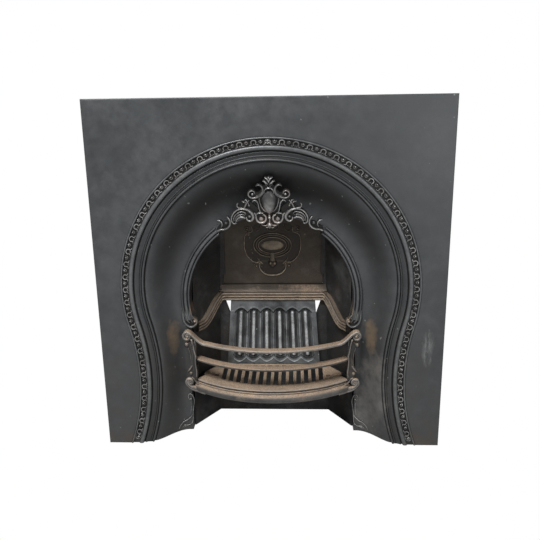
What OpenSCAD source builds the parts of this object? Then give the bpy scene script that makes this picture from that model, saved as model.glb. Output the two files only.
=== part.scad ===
// Arched cast iron insert fireplace with a horseshoe moulding, a coved reveal,
// a register flap, a ribbed fireback, a loose bottom grate and a lift-off fret.
// Millimetres. X is across the fireplace, Y runs back into the chimney, Z is up.

/* [Front plate] */
// Width of the front plate
plate_w = 945; // [905:5:1010]
// Height of the front plate
plate_h = 965; // [925:5:1060]
// Thickness of the front plate
plate_t = 6; // [5:0.5:8]
// Depth of the return round the plate's edge, from the face
flange_d = 20; // [14:1:32]
// Thickness of the return round the plate's edge
flange_t = 6; // [4:0.5:9]

/* [Horseshoe moulding] */
// Height of the centre of the round part above the hearth
arch_z = 461; // [440:1:480]
// Radius to the middle of the ornament channel
band_r = 392; // [380:1:402]
// Width between the channel's middles at the waist
waist_w = 717; // [700:1:730]
// Height of the waist above the hearth
waist_z = 205; // [180:1:230]
// Width of the ornament channel
channel_w = 16; // [12:0.5:18]
// Depth of the channel below the face
channel_d = 2; // [1:0.25:3]
// Width of the raised rim outside the channel
rim_w = 4.5; // [3:0.25:7]
// Height of the rim above the face
rim_h = 3; // [2:0.25:5]
// Width of the stepped moulding inside the channel
steps_w = 41; // [36:1:46]
// Depth of the moulding's inner edge behind the face
steps_d = 12; // [10:0.5:16]

/* [Cove and inner arch] */
// Depth of the cove's inner edge behind the face
cove_d = 80; // [70:1:90]
// Thickness of the cove, measured front to back
cove_wall = 7; // [6:0.5:9]
// Height of the centre of the inner arch
ring_z = 415; // [400:1:430]
// Outer radius of the inner arch
ring_r = 257; // [248:1:262]
// Width of the inner arch's reeded band
ring_w = 26; // [24:0.5:28]
// Clear width between the legs
leg_gap = 480; // [472:1:486]
// Thickness of the return behind the legs and the inner arch
return_t = 8; // [6:0.5:10]

/* [Firebox] */
// Depth of the joint between the front casting and the firebox
joint_d = 108; // [104:1:120]
// Depth of the firebox's back
back_d = 211; // [195:1:230]
// Width of the firebox at its front
box_front_w = 472; // [468:1:472]
// Width of the firebox at its back, at the hearth
box_back_w = 344; // [336:1:350]
// Lean of the firebox's cheeks towards each other, in degrees
cheek_lean = 1.35; // [1:0.05:1.6]
// Height of the firebox
box_h = 660; // [655:1:675]
// Thickness of the cheeks, the back and the hood
box_t = 6; // [5:0.5:8]
// Width of the bolting flanges
joint_w = 28; // [27:1:32]
// Height of the cheek moulding's centre where it starts at the front
ogee_z = 318; // [312:1:326]
// Distance from the cheek's front edge to the start of the moulding's rise
ogee_start = 25; // [20:1:32]

/* [Lintel] */
// Height of the lintel's underside
lintel_z = 370; // [362:1:376]
// Depth of the lintel, front to back
lintel_t = 13; // [10:0.5:14]
// Height of the sloping shelf above the lintel
shelf_h = 21; // [16:1:26]
// Radius of one reed of the firebox moulding
reed_r = 4.4; // [4:0.1:5]
// Distance between the moulding's reeds
reed_pitch = 8.6; // [8.2:0.1:9.4]

/* [Register flap] */
// Width of the flap
flap_w = 302; // [290:1:304]
// Height of the flap
flap_h = 216; // [190:1:220]
// Thickness of the flap
flap_t = 6; // [5:0.5:7]
// Overlap of the frame in front of the flap's edges
flap_lap = 6; // [4:0.5:8]
// Height of the hinge line above the flap's lower edge
hinge_up = 19; // [16:1:22]
// Radius of the hinge pins
pin_r = 4; // [3:0.25:4.5]
// Length of each hinge pin
pin_l = 32; // [26:1:40]

/* [Fireback] */
// Width of the fireback at its top
fireback_top_w = 256; // [240:1:264]
// Width of the fireback at its foot
fireback_foot_w = 286; // [276:1:296]
// Clearance between the fireback's top and the lintel
fireback_gap = 0.8; // [0.6:0.1:6]
// Thickness of the fireback
fireback_t = 13; // [11:0.5:14]
// Lean of the fireback, in degrees
fireback_lean = 2.5; // [1.5:0.25:3.5]
// Number of ribs on the fireback
rib_count = 6; // [5:1:7]
// Radius of the ribs
rib_r = 9; // [7:0.5:10]

/* [Bottom grate] */
// Height of the grate's top above the hearth
grate_z = 170; // [168:1:172]
// Thickness of the grate
grate_t = 10; // [8:1:12]
// Half width of the grate
grate_half_w = 204; // [200:1:207]
// Number of slots in the grate
slot_count = 14; // [10:1:14]
// Width of a slot
slot_w = 13; // [10:0.5:14]
// Distance between slots
slot_pitch = 22; // [20:0.5:22.5]

/* [Front fret] */
// Radius of the front edge of the bowed bars, seen from above
bow_r = 349; // [344:1:356]
// How far the bars stand in front of the plate's face
bow_reach = 22; // [18:1:30]
// Height of the top bar's upper side
top_bar_z = 293.5; // [288:0.5:298]
// Height of the middle bar's upper side
middle_bar_z = 240; // [234:0.5:246]
// Height of the upper side of the apron's rim
apron_z = 176; // [175:0.5:179]
// Height of the apron
apron_h = 38; // [34:0.5:40]
// Depth of the bars, front to back
bar_w = 26; // [22:1:28]
// Thickness of the bars
bar_t = 7.5; // [6:0.5:8]
// Depth of the apron's rim, front to back
rim_depth = 36; // [34:1:37]
// Distance from the centre to the middle of a top volute
volute_x = 241.5; // [239:0.5:243]
// Height of the middle of a top volute
volute_z = 308; // [304:0.5:311]
// Depth behind the face of the front of the end pieces
stile_d = 48; // [46:0.5:50]
// Thickness of the end pieces
stile_t = 8; // [6:0.5:9]

/* [Crest] */
// Height of the crest's foot
crest_z = 622; // [618:1:626]
// Depth behind the face of the crest's foot
crest_d = 66; // [64:0.5:68]
// Lean of the crest towards the room, in degrees
crest_lean = 16; // [13:0.5:17]
// Thickness of the crest's web
crest_t = 5; // [4:0.5:6]

/* [Fastenings] */
// Radius of the bolts
bolt_r = 4; // [3:0.25:4.5]
// Radius of the crest's and the sockets' screws
screw_r = 3; // [2.5:0.25:3.5]
// Clearance round bolts and screws
bolt_gap = 0.5; // [0.3:0.1:0.8]
// Radius of the holes in the wall lugs
lug_hole_r = 4.5; // [3.5:0.25:6]
// Distance between the two wall lugs on a side
lug_spacing = 500; // [440:10:560]

/* [Hidden] */
$fa = 4;
$fs = 1;

black_iron = [0.27, 0.28, 0.29];
dark_iron = [0.16, 0.16, 0.16];
rusty_iron = [0.48, 0.41, 0.34];
grey_iron = [0.38, 0.39, 0.40];
steel = [0.30, 0.29, 0.28];

seat_gap = 0.3;
overlap = 1;

// Bolts and nuts
head_h = 5.5;
nut_h = 6.5;
hex_r = 1.85 * bolt_r;
bolt_stub = 2;

apron_bulge = 10;

// Rear face of the back plate and the flap frame, and the ends of the bolts behind it
rear_y = back_d + box_t;
bolt_end = rear_y + nut_h + bolt_stub;

// Horseshoe: a round arch and two reverse arcs that pass the waist upright
waist_half = waist_w / 2;
waist_drop = arch_z - waist_z;
reverse_r = (pow(waist_half, 2) + pow(waist_drop, 2) - pow(band_r, 2)) / (2 * (band_r - waist_half));
reverse_x = waist_half + reverse_r;
tangent_a = atan2(-waist_drop, reverse_x);
tangent_z = arch_z + band_r * sin(tangent_a);
channel_out = channel_w / 2;
moulding_in = channel_out + steps_w;
moulding_out = channel_out + rim_w;

// Inner arch
ring_in = ring_r - ring_w;
crest_ring_in = ring_in + 7;
leg_x = leg_gap / 2;
ring_front = cove_d - 5;
box_mouth_r = crest_ring_in + 4;
reed_end_a = 53;
corner_r = 44;

// Firebox plan
front_x = box_front_w / 2;
foot_x = box_back_w / 2;
cheek_dx = front_x - foot_x;
cheek_dy = back_d - joint_d;
cheek_l = sqrt(pow(cheek_dx, 2) + pow(cheek_dy, 2));
cheek_a = atan2(cheek_dy, -cheek_dx);
cheek_skew = box_t * cheek_l / cheek_dy;
lean_x = tan(cheek_lean) * cheek_l / cheek_dy;
function back_x(z) = foot_x - z * lean_x;

// Lintel and the cheek moulding that meets it
lintel_reeds_z = lintel_z + reed_r + reed_pitch;
lintel_h = 2 * (reed_r + reed_pitch);
lintel_front = back_d - lintel_t;
lintel_x = back_x(lintel_reeds_z);
ogee_end = cheek_l + lintel_reeds_z * tan(cheek_lean) * cheek_dx / cheek_dy;
ogee_rise = lintel_reeds_z - ogee_z;
ogee_run = ogee_end - ogee_start;
ogee_r = (pow(ogee_run, 2) + pow(ogee_rise, 2)) / (4 * ogee_rise);
ogee_a = 2 * atan2(ogee_rise, ogee_run);

// Back plate and flap frame
back_joint_w = joint_w + 6;
back_half = foot_x + back_joint_w;
split_z = lintel_z + lintel_h - overlap;
window_top_z = lintel_z + 8;
window_top_half = 149;
window_foot_z = 232;
window_foot_half = 100;
shelf_top_z = lintel_z + lintel_h + shelf_h;
flap_foot_z = shelf_top_z + 2;
frame_top_z = box_h + joint_w;
flap_side_gap = 1;
frame_open_half = flap_w / 2 - flap_lap;
frame_low_half = flap_w / 2 + 4;
frame_open_z = flap_foot_z - 2;
frame_open_top = flap_foot_z + flap_h - flap_lap;

// Flap hinge: it lies behind the flap, so that the flap falls shut against its frame
hinge_back = flap_t / 2 + 1;
hinge_y = rear_y + seat_gap + flap_t / 2 + hinge_back;
hinge_z = flap_foot_z + hinge_up;

pin_gap = 0.05;
boss_r = pin_r + 4;
ear_w = 12;
sill_d = 15;
ear_x = flap_w / 2 + flap_side_gap;
pin_in = ear_x + ear_w - 2 - pin_l;

// Where the plate's face lies: the whole part is centred front to back
nose_d = bow_reach + apron_bulge;
rear_d = hinge_y + boss_r;
face_y = (nose_d - rear_d) / 2;

// Fireback ledge and seat
ledge_top_z = 167;
ledge_h = 12;
ledge_x = 90;
ledge_w = 36;
fireback_rise = lintel_z - fireback_gap - ledge_top_z - seat_gap;
fireback_h = fireback_rise / cos(fireback_lean) - fireback_t * tan(fireback_lean);

// Fret
bow_y = bow_r - bow_reach;
stile_back = stile_d + stile_t;
rim_in_r = bow_r - rim_depth;
apron_foot_z = apron_z - apron_h;
stile_in = 218;
scroll_x = 238;
scroll_z = apron_z - 12;
tongue_x = 229;
tongue_t = 6;
tongue_z = 206;
hook_y = 89;
hook_w = 10;
hook_mid_y = hook_y + hook_w / 2;
hook_foot_z = 183;
tongue_gap = 0.5;
socket_in = 221;
socket_front = 84;
socket_depth = 20;
socket_foot_z = 164;
socket_screw_z = 172;
rivet_r = 2.5;
volute_r = 17;
middle_bar_half = stile_in + 4;
lug_t = 5;
lug_reach = 34;
rivet_y = stile_back + 18;
rivet_z = middle_bar_z - bar_t / 2;
rivet_in = middle_bar_half - 14;

// Grate
grate_gap = 10;
grate_foot_z = grate_z - grate_t;
grate_front_r = rim_in_r - grate_gap;
grate_back_y = 182;
grate_corner_y = 120;
slot_edge = 8;

// Where the fastenings sit
arch_bolt_x = leg_x + return_t + 8.5;
arch_bolt_z = [60, 330, 600];
back_bolt_x = back_half - 9.5;
back_bolt_z = [60, 330];
frame_bolt_z = [470, 620];
hood_bolt_x = 120;
hood_bolt_z = box_h + box_t + (joint_w - box_t) / 2 + 1;
lintel_screw_x = 142;
lintel_screw_z = lintel_z + lintel_h - 8;
lintel_screw_r = 2.5;
crest_screw_x = 30;
crest_screw_ring = (ring_r + crest_ring_in) / 2 + 1.5;
crest_screw_z = ring_z + sqrt(pow(crest_screw_ring, 2) - pow(crest_screw_x, 2));
rest_bolts_a = [22, 60];
rest_l = 76;
rest_start = 6;
rest_in_x = 160;
rest_front_y = 62;
rest_h = 36;
rest_bolt_z = grate_foot_z - 24;
lug_x = plate_w / 2 - 30;
lug_y = 30;
lug_r = 14;
lug_mid_z = 500;

// ---------------------------------------------------------------- helpers

// Puts a piece that was drawn from the plate's face into the part's frame
module in_frame() {
  translate([0, face_y, 0]) children();
}

// A flat outline in x and z, given a thickness from depth y0 to y1
module slab(y0, y1) {
  translate([0, y1, 0]) rotate([90, 0, 0]) linear_extrude(y1 - y0) children();
}

// Revolves a profile of radius and forward height about a line along y
module sweep_arc(x, z, a0, a1) {
  translate([x, 0, z]) rotate([90, 0, 0]) rotate([0, 0, a0]) rotate_extrude(angle = a1 - a0) children();
}

// A round bead bent along an arc, at depth y
module bead_arc(x, y, z, r, a0, a1, bead_r) {
  sweep_arc(x, z, a0, a1) translate([r, -y]) circle(r = bead_r);
}

// A rod along y from depth y0 to y1
module rod_y(x, z, r, y0, y1) {
  translate([x, y1, z]) rotate([90, 0, 0]) cylinder(r = r, h = y1 - y0);
}

// A rod along x
module rod_x(x0, x1, y, z, r) {
  translate([x0, y, z]) rotate([0, 90, 0]) cylinder(r = r, h = x1 - x0);
}

// Both sides of a symmetrical pair
module both_sides() {
  children();
  mirror([1, 0, 0]) children();
}

// Puts its children on the right cheek: x along it from its front edge, y out of the firebox
module on_cheek(lean = cheek_lean) {
  translate([front_x, joint_d, 0]) rotate([0, 0, cheek_a]) mirror([0, 1, 0])
    rotate([lean, 0, 0]) children();
}

// Everything below the hearth
module below_floor() {
  translate([-plate_w, -plate_h / 2, -plate_h]) cube([2 * plate_w, plate_h, plate_h]);
}

// Hexagon bolt along y: head in front, shank to the back
module bolt_y(x, z, y0, y1, r) {
  translate([x, y0, z]) rotate([90, 0, 0]) cylinder(r = hex_r, h = head_h, $fn = 6);
  rod_y(x, z, r, y0 - overlap, y1);
}

// Hexagon nut on a bolt along y
module nut_y(x, z, y0) {
  difference() {
    translate([x, y0 + nut_h, z]) rotate([90, 0, 0]) cylinder(r = hex_r, h = nut_h, $fn = 6);
    rod_y(x, z, bolt_r + pin_gap, y0 - overlap, y0 + nut_h + overlap);
  }
}

// ------------------------------------------------------------ front plate

// The horseshoe's outline at the channel's middle, grown outwards
module horseshoe(grow) {
  translate([0, arch_z]) circle(r = band_r + grow);
  difference() {
    translate([-reverse_x, -overlap]) square([2 * reverse_x, tangent_z + overlap]);
    for (side = [-1, 1])
      translate([side * reverse_x, waist_z]) circle(r = reverse_r - grow);
  }
}

// Front of the moulding from the plate inwards: distance out from the channel's middle, depth
function moulding_front() =
  let (
    rim_m = channel_out + rim_w / 2,
    roll_w = steps_w * 0.3,
    roll_m = -channel_out - roll_w / 2,
    groove = 4,
    flat_in = -channel_out - roll_w - steps_w * 0.4,
    bead_w = steps_w * 0.16,
    bead_m = flat_in - 1 - bead_w / 2,
    bead_d = steps_d * 0.72
  )
  concat(
    [[moulding_out + 1, 1.5]],
    [for (a = [40:50:140]) [rim_m + rim_w / 2 * cos(a), -rim_h * sin(a)]],
    [[channel_out, channel_d], [-channel_out, channel_d]],
    [for (a = [20:35:160]) [roll_m + roll_w / 2 * cos(a), 1.5 - 4 * sin(a)]],
    [[roll_m - roll_w / 2 - 1, groove + 1], [roll_m - roll_w / 2 - 2.2, groove - 1.4]],
    [[flat_in, steps_d * 0.72]],
    [for (a = [20:46.6:160]) [bead_m + bead_w / 2 * cos(a), bead_d - bead_w / 2 * sin(a)]],
    [[-moulding_in + 0.6, steps_d + 1]]
  );

// Share of the way from the foot (0) to the springing (1), over the arch (2) and down (3)
foot_a = asin(waist_z / (reverse_r - moulding_out)) + 1.5;
function leg_a(t) = 180 + foot_a - t * (foot_a - tangent_a);
function arch_a(t) = tangent_a + (t - 1) * (180 - 2 * tangent_a);
function mirrored(p) = [-p[0], p[1]];

// A place at distance d out from the channel's middle, in x and z
function band_at(t, d) =
  t > 2 ? mirrored(band_at(3 - t, d))
  : t < 1 ? [reverse_x + (reverse_r - d) * cos(leg_a(t)), waist_z + (reverse_r - d) * sin(leg_a(t))]
  : [(band_r + d) * cos(arch_a(t)), arch_z + (band_r + d) * sin(arch_a(t))];

// Half the angle that the crest covers on the inner arch, as a share of t
crest_t0 = 1 + (reed_end_a - tangent_a) / (180 - 2 * tangent_a);
function reeded(t) = t >= 1 && t <= 2 && (t <= crest_t0 || t >= 3 - crest_t0);

// A place on the inner arch or a leg: e runs from its inner edge (0) to its outer edge (1)
function inner_at(t, e) =
  t > 2 ? mirrored(inner_at(3 - t, e))
  : t < 1 ? [leg_x + return_t * e, band_at(t, -moulding_in)[1] * ring_foot_z / band_at(1, -moulding_in)[1]]
  : let (r0 = reeded(t) ? ring_in : crest_ring_in, r = r0 + (ring_r - r0) * e)
    [r * cos(arch_a(t)), ring_z + r * sin(arch_a(t))];
ring_foot_z = ring_z + ring_r * sin(tangent_a);

// Depth of the cove at a share s of the way from its outer to its inner edge
cove_start = steps_d + 1;
function cove_depth(s) = cove_start + (cove_d - cove_start) * (1 - cos(180 * pow(s, 0.8))) / 2;

// One cross-section of the casting: its front from the plate to the joint, then its back
cove_rows = 8;
reed_rows = [[0.985, 0], [0.94, 3.2], [0.86, 3.4], [0.8, 1], [0.72, 4.2], [0.57, 5.2], [0.4, 4.2],
             [0.34, 1], [0.28, 3.2], [0.15, 4], [0.03, 2.8], [0, 0]];
function deep(p, y) = [p[0], y, p[1]];
function between(a, b, s) = a + (b - a) * s;
function section_front(t) =
  let (
    outer = band_at(t, -moulding_in),
    inner = inner_at(t, 1),
    reeds = reeded(t) ? 1 : 0,
    front = t < 1 || t > 2 ? cove_d : ring_front
  )
  concat(
    [for (q = moulding_front()) deep(band_at(t, q[0]), q[1])],
    [for (j = [1:cove_rows]) deep(between(outer, inner, j / cove_rows), cove_depth(j / cove_rows))],
    [for (q = reed_rows) deep(inner_at(t, q[0]), front - q[1] * reeds)],
    [deep(inner_at(t, 0), joint_d - 0.5)]
  );
function section_back(t) =
  let (
    outer = band_at(t, -moulding_in),
    inner = inner_at(t, 1),
    wall_e = t < 1 || t > 2 ? 1 : return_t / ring_w
  )
  concat(
    [deep(band_at(t, moulding_out + 1), 3.5), deep(band_at(t, channel_out + 1), 3.5)],
    [deep(band_at(t, 0), plate_t + 3), deep(band_at(t, -channel_w), plate_t + 4)],
    [deep(outer, steps_d + cove_wall)],
    [for (j = [2:2:cove_rows], s = j / cove_rows) deep(between(outer, inner, s), cove_depth(s) + cove_wall)],
    [deep(inner_at(t, wall_e), cove_d + cove_wall + 1), deep(inner_at(t, wall_e), joint_d - 0.5)]
  );

// The horseshoe moulding, the cove and the inner arch, swept in one piece from foot to foot
module reveal() {
  leg_ts = [-0.02, 0.16, 0.32, 0.48, 0.64, 0.8, 0.985];
  side_ts = [for (i = [0:13]) between(1, crest_t0, i / 13)];
  top_ts = [for (i = [0:13]) between(crest_t0 + 0.004, 2.996 - crest_t0, i / 13)];
  far_side_ts = [for (i = [len(side_ts) - 1:-1:0]) 3 - side_ts[i]];
  far_leg_ts = [for (i = [len(leg_ts) - 1:-1:0]) 3 - leg_ts[i]];
  ts = concat(leg_ts, side_ts, top_ts, far_side_ts, far_leg_ts);
  nf = len(section_front(0));
  nb = len(section_back(0));
  m = nf + nb;
  points = [for (t = ts) each concat(section_front(t), section_back(t))];
  // the back point that faces each front point across the section
  facing = [for (k = [0:nf - 1]) nf + min(nb - 1, k < 5 ? 0 : k < 8 ? 1 : k < 13 ? 2 : k < 17 ? 3
            : k < nf - 21 ? 4 : k < nf - 13 ? 4 + floor((k - nf + 22) / 2) : k < nf - 1 ? nb - 2 : nb - 1)];
  function quad(a, b, c, d) = [[a, c, b], [a, d, c]];
  skin = [for (i = [0:len(ts) - 2], k = [0:nf - 2])
    each quad(i * m + k, (i + 1) * m + k, (i + 1) * m + k + 1, i * m + k + 1)];
  under = [for (i = [0:len(ts) - 2], k = [nf:m - 2])
    each quad(i * m + k, i * m + k + 1, (i + 1) * m + k + 1, (i + 1) * m + k)];
  rims = [for (i = [0:len(ts) - 2]) each concat(
    quad(i * m, i * m + nf, (i + 1) * m + nf, (i + 1) * m),
    quad(i * m + nf - 1, (i + 1) * m + nf - 1, (i + 1) * m + m - 1, i * m + m - 1))];
  cap = [for (k = [0:nf - 2]) each concat(
    [[k, facing[k + 1], k + 1]],
    [for (b = [facing[k]:1:facing[k + 1] - 1]) [k, b, b + 1]])];
  far = (len(ts) - 1) * m;
  far_cap = [for (f = cap) [f[0] + far, f[2] + far, f[1] + far]];
  polyhedron(points, concat(skin, under, rims, cap, far_cap), 10);
}

// Curled foot that closes the reeds of the inner arch
module arch_foot() {
  curl_r = 16;
  curl_x = ring_r * cos(tangent_a) - curl_r + 1;
  curl_z = ring_foot_z + 3;
  sweep_arc(curl_x, curl_z, 175, 365) translate([curl_r - 4, -cove_d - 4]) square([8, 15]);
  rod_y(curl_x - curl_r, curl_z + 1, 6.5, ring_front - 7, cove_d + 4);
}

// Outline of the firebox's front joint, grown by a flange
module joint_outline(grow) {
  r = corner_r + grow;
  x = leg_x + grow;
  top = box_h + grow;
  translate([-x, 0]) square([2 * x, top - r]);
  translate([-(x - r), 0]) square([2 * (x - r), top]);
  for (side = [-1, 1]) translate([side * (x - r), top - r]) circle(r = r);
}

// Flat flange behind the arch that the firebox is bolted to
module bolt_flange() {
  hole_x = leg_x + return_t / 2;
  slab(joint_d - box_t, joint_d) difference() {
    joint_outline(joint_w);
    translate([0, ring_z]) circle(r = box_mouth_r);
    translate([-hole_x, -overlap]) square([2 * hole_x, ring_z - 100]);
  }
}

module wall_lug(z) {
  translate([lug_x, plate_t - overlap, z - lug_r]) cube([flange_t, lug_y - plate_t + overlap, 2 * lug_r]);
  rod_x(lug_x, lug_x + flange_t, lug_y, z, lug_r);
}

lug_zs = [lug_mid_z - lug_spacing / 2, lug_mid_z + lug_spacing / 2];

module front_plate() {
  color(black_iron) difference() {
    union() {
      slab(0, plate_t) difference() {
        translate([-plate_w / 2, 0]) square([plate_w, plate_h]);
        horseshoe(channel_out + rim_w / 2);
      }
      slab(plate_t - overlap, flange_d) difference() {
        translate([-plate_w / 2, 0]) square([plate_w, plate_h]);
        translate([-plate_w / 2 + flange_t, -overlap])
          square([plate_w - 2 * flange_t, plate_h - flange_t + overlap]);
      }
      reveal();
      both_sides() arch_foot();
      bolt_flange();
      both_sides() for (z = lug_zs) wall_lug(z);
    }
    below_floor();
    both_sides() {
      for (z = arch_bolt_z)
        rod_y(arch_bolt_x, z, bolt_r + bolt_gap, joint_d - 2 * box_t, joint_d + overlap);
      for (z = lug_zs) rod_x(lug_x - overlap, lug_x + flange_t + overlap, lug_y, z, lug_hole_r);
      rod_x(leg_x - overlap, leg_x + return_t + overlap, hook_mid_y, socket_screw_z, screw_r + bolt_gap);
      rod_y(hood_bolt_x, hood_bolt_z, bolt_r + bolt_gap, joint_d - 2 * box_t, joint_d + overlap);
      rod_y(crest_screw_x, crest_screw_z, screw_r + bolt_gap, ring_front - overlap, joint_d + overlap);
    }
  }
}

// ------------------------------------------------------------------ crest

// Puts its children in the crest's own plane, x across and z up along it
module on_crest() {
  translate([0, crest_d, crest_z]) rotate([crest_lean, 0, 0]) children();
}

// The C-scrolls of the crest's right half: centre, radius, start and end angle, width
crest_scrolls = [
  [24, 30, 10, 60, 330, 5],
  [44, 96, 8, 200, 480, 4.5],
  [28, 106, 10, 200, 10, 4],
  [22, 70, 15, 100, -70, 5],
  [64, 73, 28, 128, 232, 5],
  [73, 26, 27, 185, -10, 6.5],
  [76, 24, 15, 180, 20, 5],
  [70, 60, 11, 50, 215, 4],
  [50, 34, 14, 200, 350, 5],
  [120, 8, 13, 200, -20, 5],
  [112, 2, 20, -90, 0, 5]
];

// A raised arc on a wider web, ending in a round eye; each scroll stands a little prouder than the last
module crest_scroll(x, z, r, a0, a1, w, lift) {
  web = 2;
  relief = 3.5;
  eye_r = w * 0.8;
  inset = a1 > a0 ? 1 : -1;
  sweep_arc(x, z, a0, a1) translate([r - w / 2 - web, -lift / 2]) square([w + 2 * web, crest_t + lift]);
  sweep_arc(x, z, a0 + inset, a1 - inset) translate([r - w / 2, 1]) square([w, crest_t + relief + lift]);
  rod_y(x + r * cos(a1), z + r * sin(a1), eye_r, -crest_t - relief - 2 - lift, -1);
}

// Vase in the middle of the crest, half sunk in its web
module crest_vase() {
  sink = 6;
  profile = [[0, 54], [5, 54], [9, 60], [9, 64], [14, 76], [17, 88], [16, 97], [10, 104], [0, 106]];
  intersection() {
    translate([0, -crest_t + sink, 0]) rotate_extrude() polygon(profile);
    translate([-20, -40, 50]) cube([40, 40, 60]);
  }
}

// The leafy finial: a bud between two curls
module crest_finial() {
  bud_z = 140;
  rod_y(0, bud_z, 7, -crest_t - 4, 0);
  rod_y(0, bud_z - 12, 9, -crest_t, 0);
  translate([-7, -crest_t, bud_z - 40]) cube([14, crest_t, 30]);
  both_sides() rod_y(11, bud_z - 6, 5.5, -crest_t - 2, 0);
}

module arch_crest() {
  color(grey_iron) difference() {
    union() {
      on_crest() {
        both_sides() {
          for (i = [0:len(crest_scrolls) - 1]) {
            c = crest_scrolls[i];
            crest_scroll(c[0], c[1], c[2], c[3], c[4], c[5], 0.22 * i);
          }
          slab(0.4 - crest_t, -0.4)
            polygon([[8, 40], [20, 44], [26, 60], [22, 82], [35, 82], [37, 91], [10, 100]]);
          slab(0.6 - crest_t, -0.6) polygon([[90, 14], [108, -6], [116, 0], [100, 28]]);
        }
        slab(0.2 - crest_t, -0.2) translate([-17, 22]) square([34, 70]);
        crest_vase();
        crest_finial();
        rod_y(0, 8, 8, -crest_t - 4, 0);
        rod_y(0, 20, 9, -crest_t - 2, 0);
      }
      both_sides() rod_y(crest_screw_x, crest_screw_z, 7, crest_pad_front, ring_front);
    }
    both_sides()
      rod_y(crest_screw_x, crest_screw_z, screw_r + bolt_gap, crest_screw_tip - overlap, ring_front + overlap);
  }
}

crest_pad_front = crest_d - (crest_screw_z - crest_z) * tan(crest_lean) - 2;
crest_screw_tip = crest_pad_front + 4;

module crest_screws() {
  band_back = cove_d + cove_wall + 1;
  color(steel) both_sides() {
    rod_y(crest_screw_x, crest_screw_z, screw_r, crest_screw_tip, band_back + overlap);
    rod_y(crest_screw_x, crest_screw_z, 1.5 * screw_r, band_back, band_back + 3);
  }
}

// ---------------------------------------------------------------- firebox

// The cheek's wall, leaning inwards
module cheek_wall() {
  intersection() {
    on_cheek() translate([-cheek_l / 2, 0, -joint_w]) cube([2 * cheek_l, box_t, box_h + 2 * joint_w]);
    translate([0, joint_d, 0]) cube([front_x + joint_w, cheek_dy, box_h]);
  }
}

// Upright flange of a cheek, from depth y0 to y1: x is the wall's place at the hearth
module cheek_flange(x, out, y0, y1) {
  sunk = cheek_skew / 2;
  slab(y0, y1) polygon([[x + sunk, 0], [out, 0], [out, box_h], [x + sunk - box_h * lean_x, box_h]]);
}

// Section of the reeded moulding: height about its middle, distance out from its back
function reeds_section(base) = concat(
  [[-lintel_h / 2, base], [-lintel_h / 2, lintel_t]],
  [for (i = [-1:1], a = [150:-40:30]) [i * reed_pitch + reed_r * cos(a), lintel_t + reed_r * sin(a)]],
  [[lintel_h / 2, lintel_t], [lintel_h / 2, base]]
);

// Moulding of a cheek: level, up in an S, and on to the corner. It starts clear of the joint.
module cheek_moulding() {
  start = (lintel_t + reed_r) * cheek_dx / cheek_dy + seat_gap + overlap;
  sunk = 0.2;
  section = reeds_section(-2);
  translate([start, sunk, ogee_z]) rotate([90, 0, 90]) linear_extrude(ogee_start + overlap - start)
    polygon([for (q = section) [-q[1], q[0] * (1 - sunk / reed_pitch)]]);
  sweep_arc(ogee_start, ogee_z + ogee_r, -90, ogee_a - 90)
    polygon([for (q = section) [ogee_r - q[0], q[1]]]);
  sweep_arc(ogee_end, lintel_reeds_z - ogee_r, 90, 90 + ogee_a)
    polygon([for (q = section) [ogee_r + q[0], q[1]]]);
}

// The far side of the mitre between a cheek's and the lintel's moulding, drawn along it
module mitre_side(y0, y1) {
  translate([lintel_x, back_d, lintel_z - 4]) rotate([0, 0, cheek_a / 2 - 180])
    translate([-50, y0, 0]) cube([100, y1 - y0, lintel_h + 8]);
}

module cheek() {
  difference() {
    union() {
      cheek_wall();
      cheek_flange(front_x, leg_x + joint_w, joint_d, joint_d + box_t);
      cheek_flange(foot_x, back_half, back_d - box_t, back_d);
      difference() {
        on_cheek() cheek_moulding();
        mitre_side(-100, 0);
      }
    }
    translate([0, back_d, 0]) cube([2 * back_half, joint_w, box_h]);
    for (z = arch_bolt_z)
      rod_y(arch_bolt_x, z, bolt_r + bolt_gap, joint_d - overlap, joint_d + box_t + overlap);
    for (z = concat(back_bolt_z, frame_bolt_z))
      rod_y(back_bolt_x, z, bolt_r + bolt_gap, back_d - box_t - overlap, back_d + overlap);
    on_cheek() for (a = rest_bolts_a) rod_y(a, rest_bolt_z, bolt_r + bolt_gap, -overlap, box_t + overlap);
  }
}

module cheek_right() {
  color(dark_iron) cheek();
}

module cheek_left() {
  color(dark_iron) mirror([1, 0, 0]) cheek();
}

// Hollow of the shelf above the reeds, from its front up to the back: depth before the back, height
shelf_lip = 3;
function shelf_hollow() = [for (a = [0:15:90])
  [shelf_lip + (lintel_t - shelf_lip) * (1 - sin(a)), lintel_h / 2 + shelf_h * (1 - cos(a))]];

module lintel() {
  screw_from = lintel_front + 1;
  reeds = reeds_section(0);
  front = [for (i = [0:len(reeds) - 3]) [reeds[i][1], reeds[i][0]]];
  section = concat(front, shelf_hollow(), [[0, lintel_h / 2 + shelf_h]]);
  color(rusty_iron) difference() {
    translate([-lintel_x, 0, 0]) rotate([90, 0, 90]) linear_extrude(2 * lintel_x)
      polygon([for (q = section) [back_d - q[0], lintel_reeds_z + q[1]]]);
    both_sides() {
      mitre_side(-seat_gap, 100);
      rod_y(lintel_screw_x, lintel_screw_z, lintel_screw_r, screw_from, back_d + overlap);
    }
    both_sides() translate([back_x(shelf_top_z), back_d, 0]) rotate([0, 0, cheek_a])
      translate([-50, -50, 0]) cube([100, 50 + seat_gap, box_h]);
  }
}

module lintel_screws() {
  color(steel) both_sides() {
    rod_y(lintel_screw_x, lintel_screw_z, lintel_screw_r - pin_gap, lintel_front + 1.5, rear_y + overlap);
    rod_y(lintel_screw_x, lintel_screw_z, 2 * lintel_screw_r, rear_y, rear_y + 3);
  }
}

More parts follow.
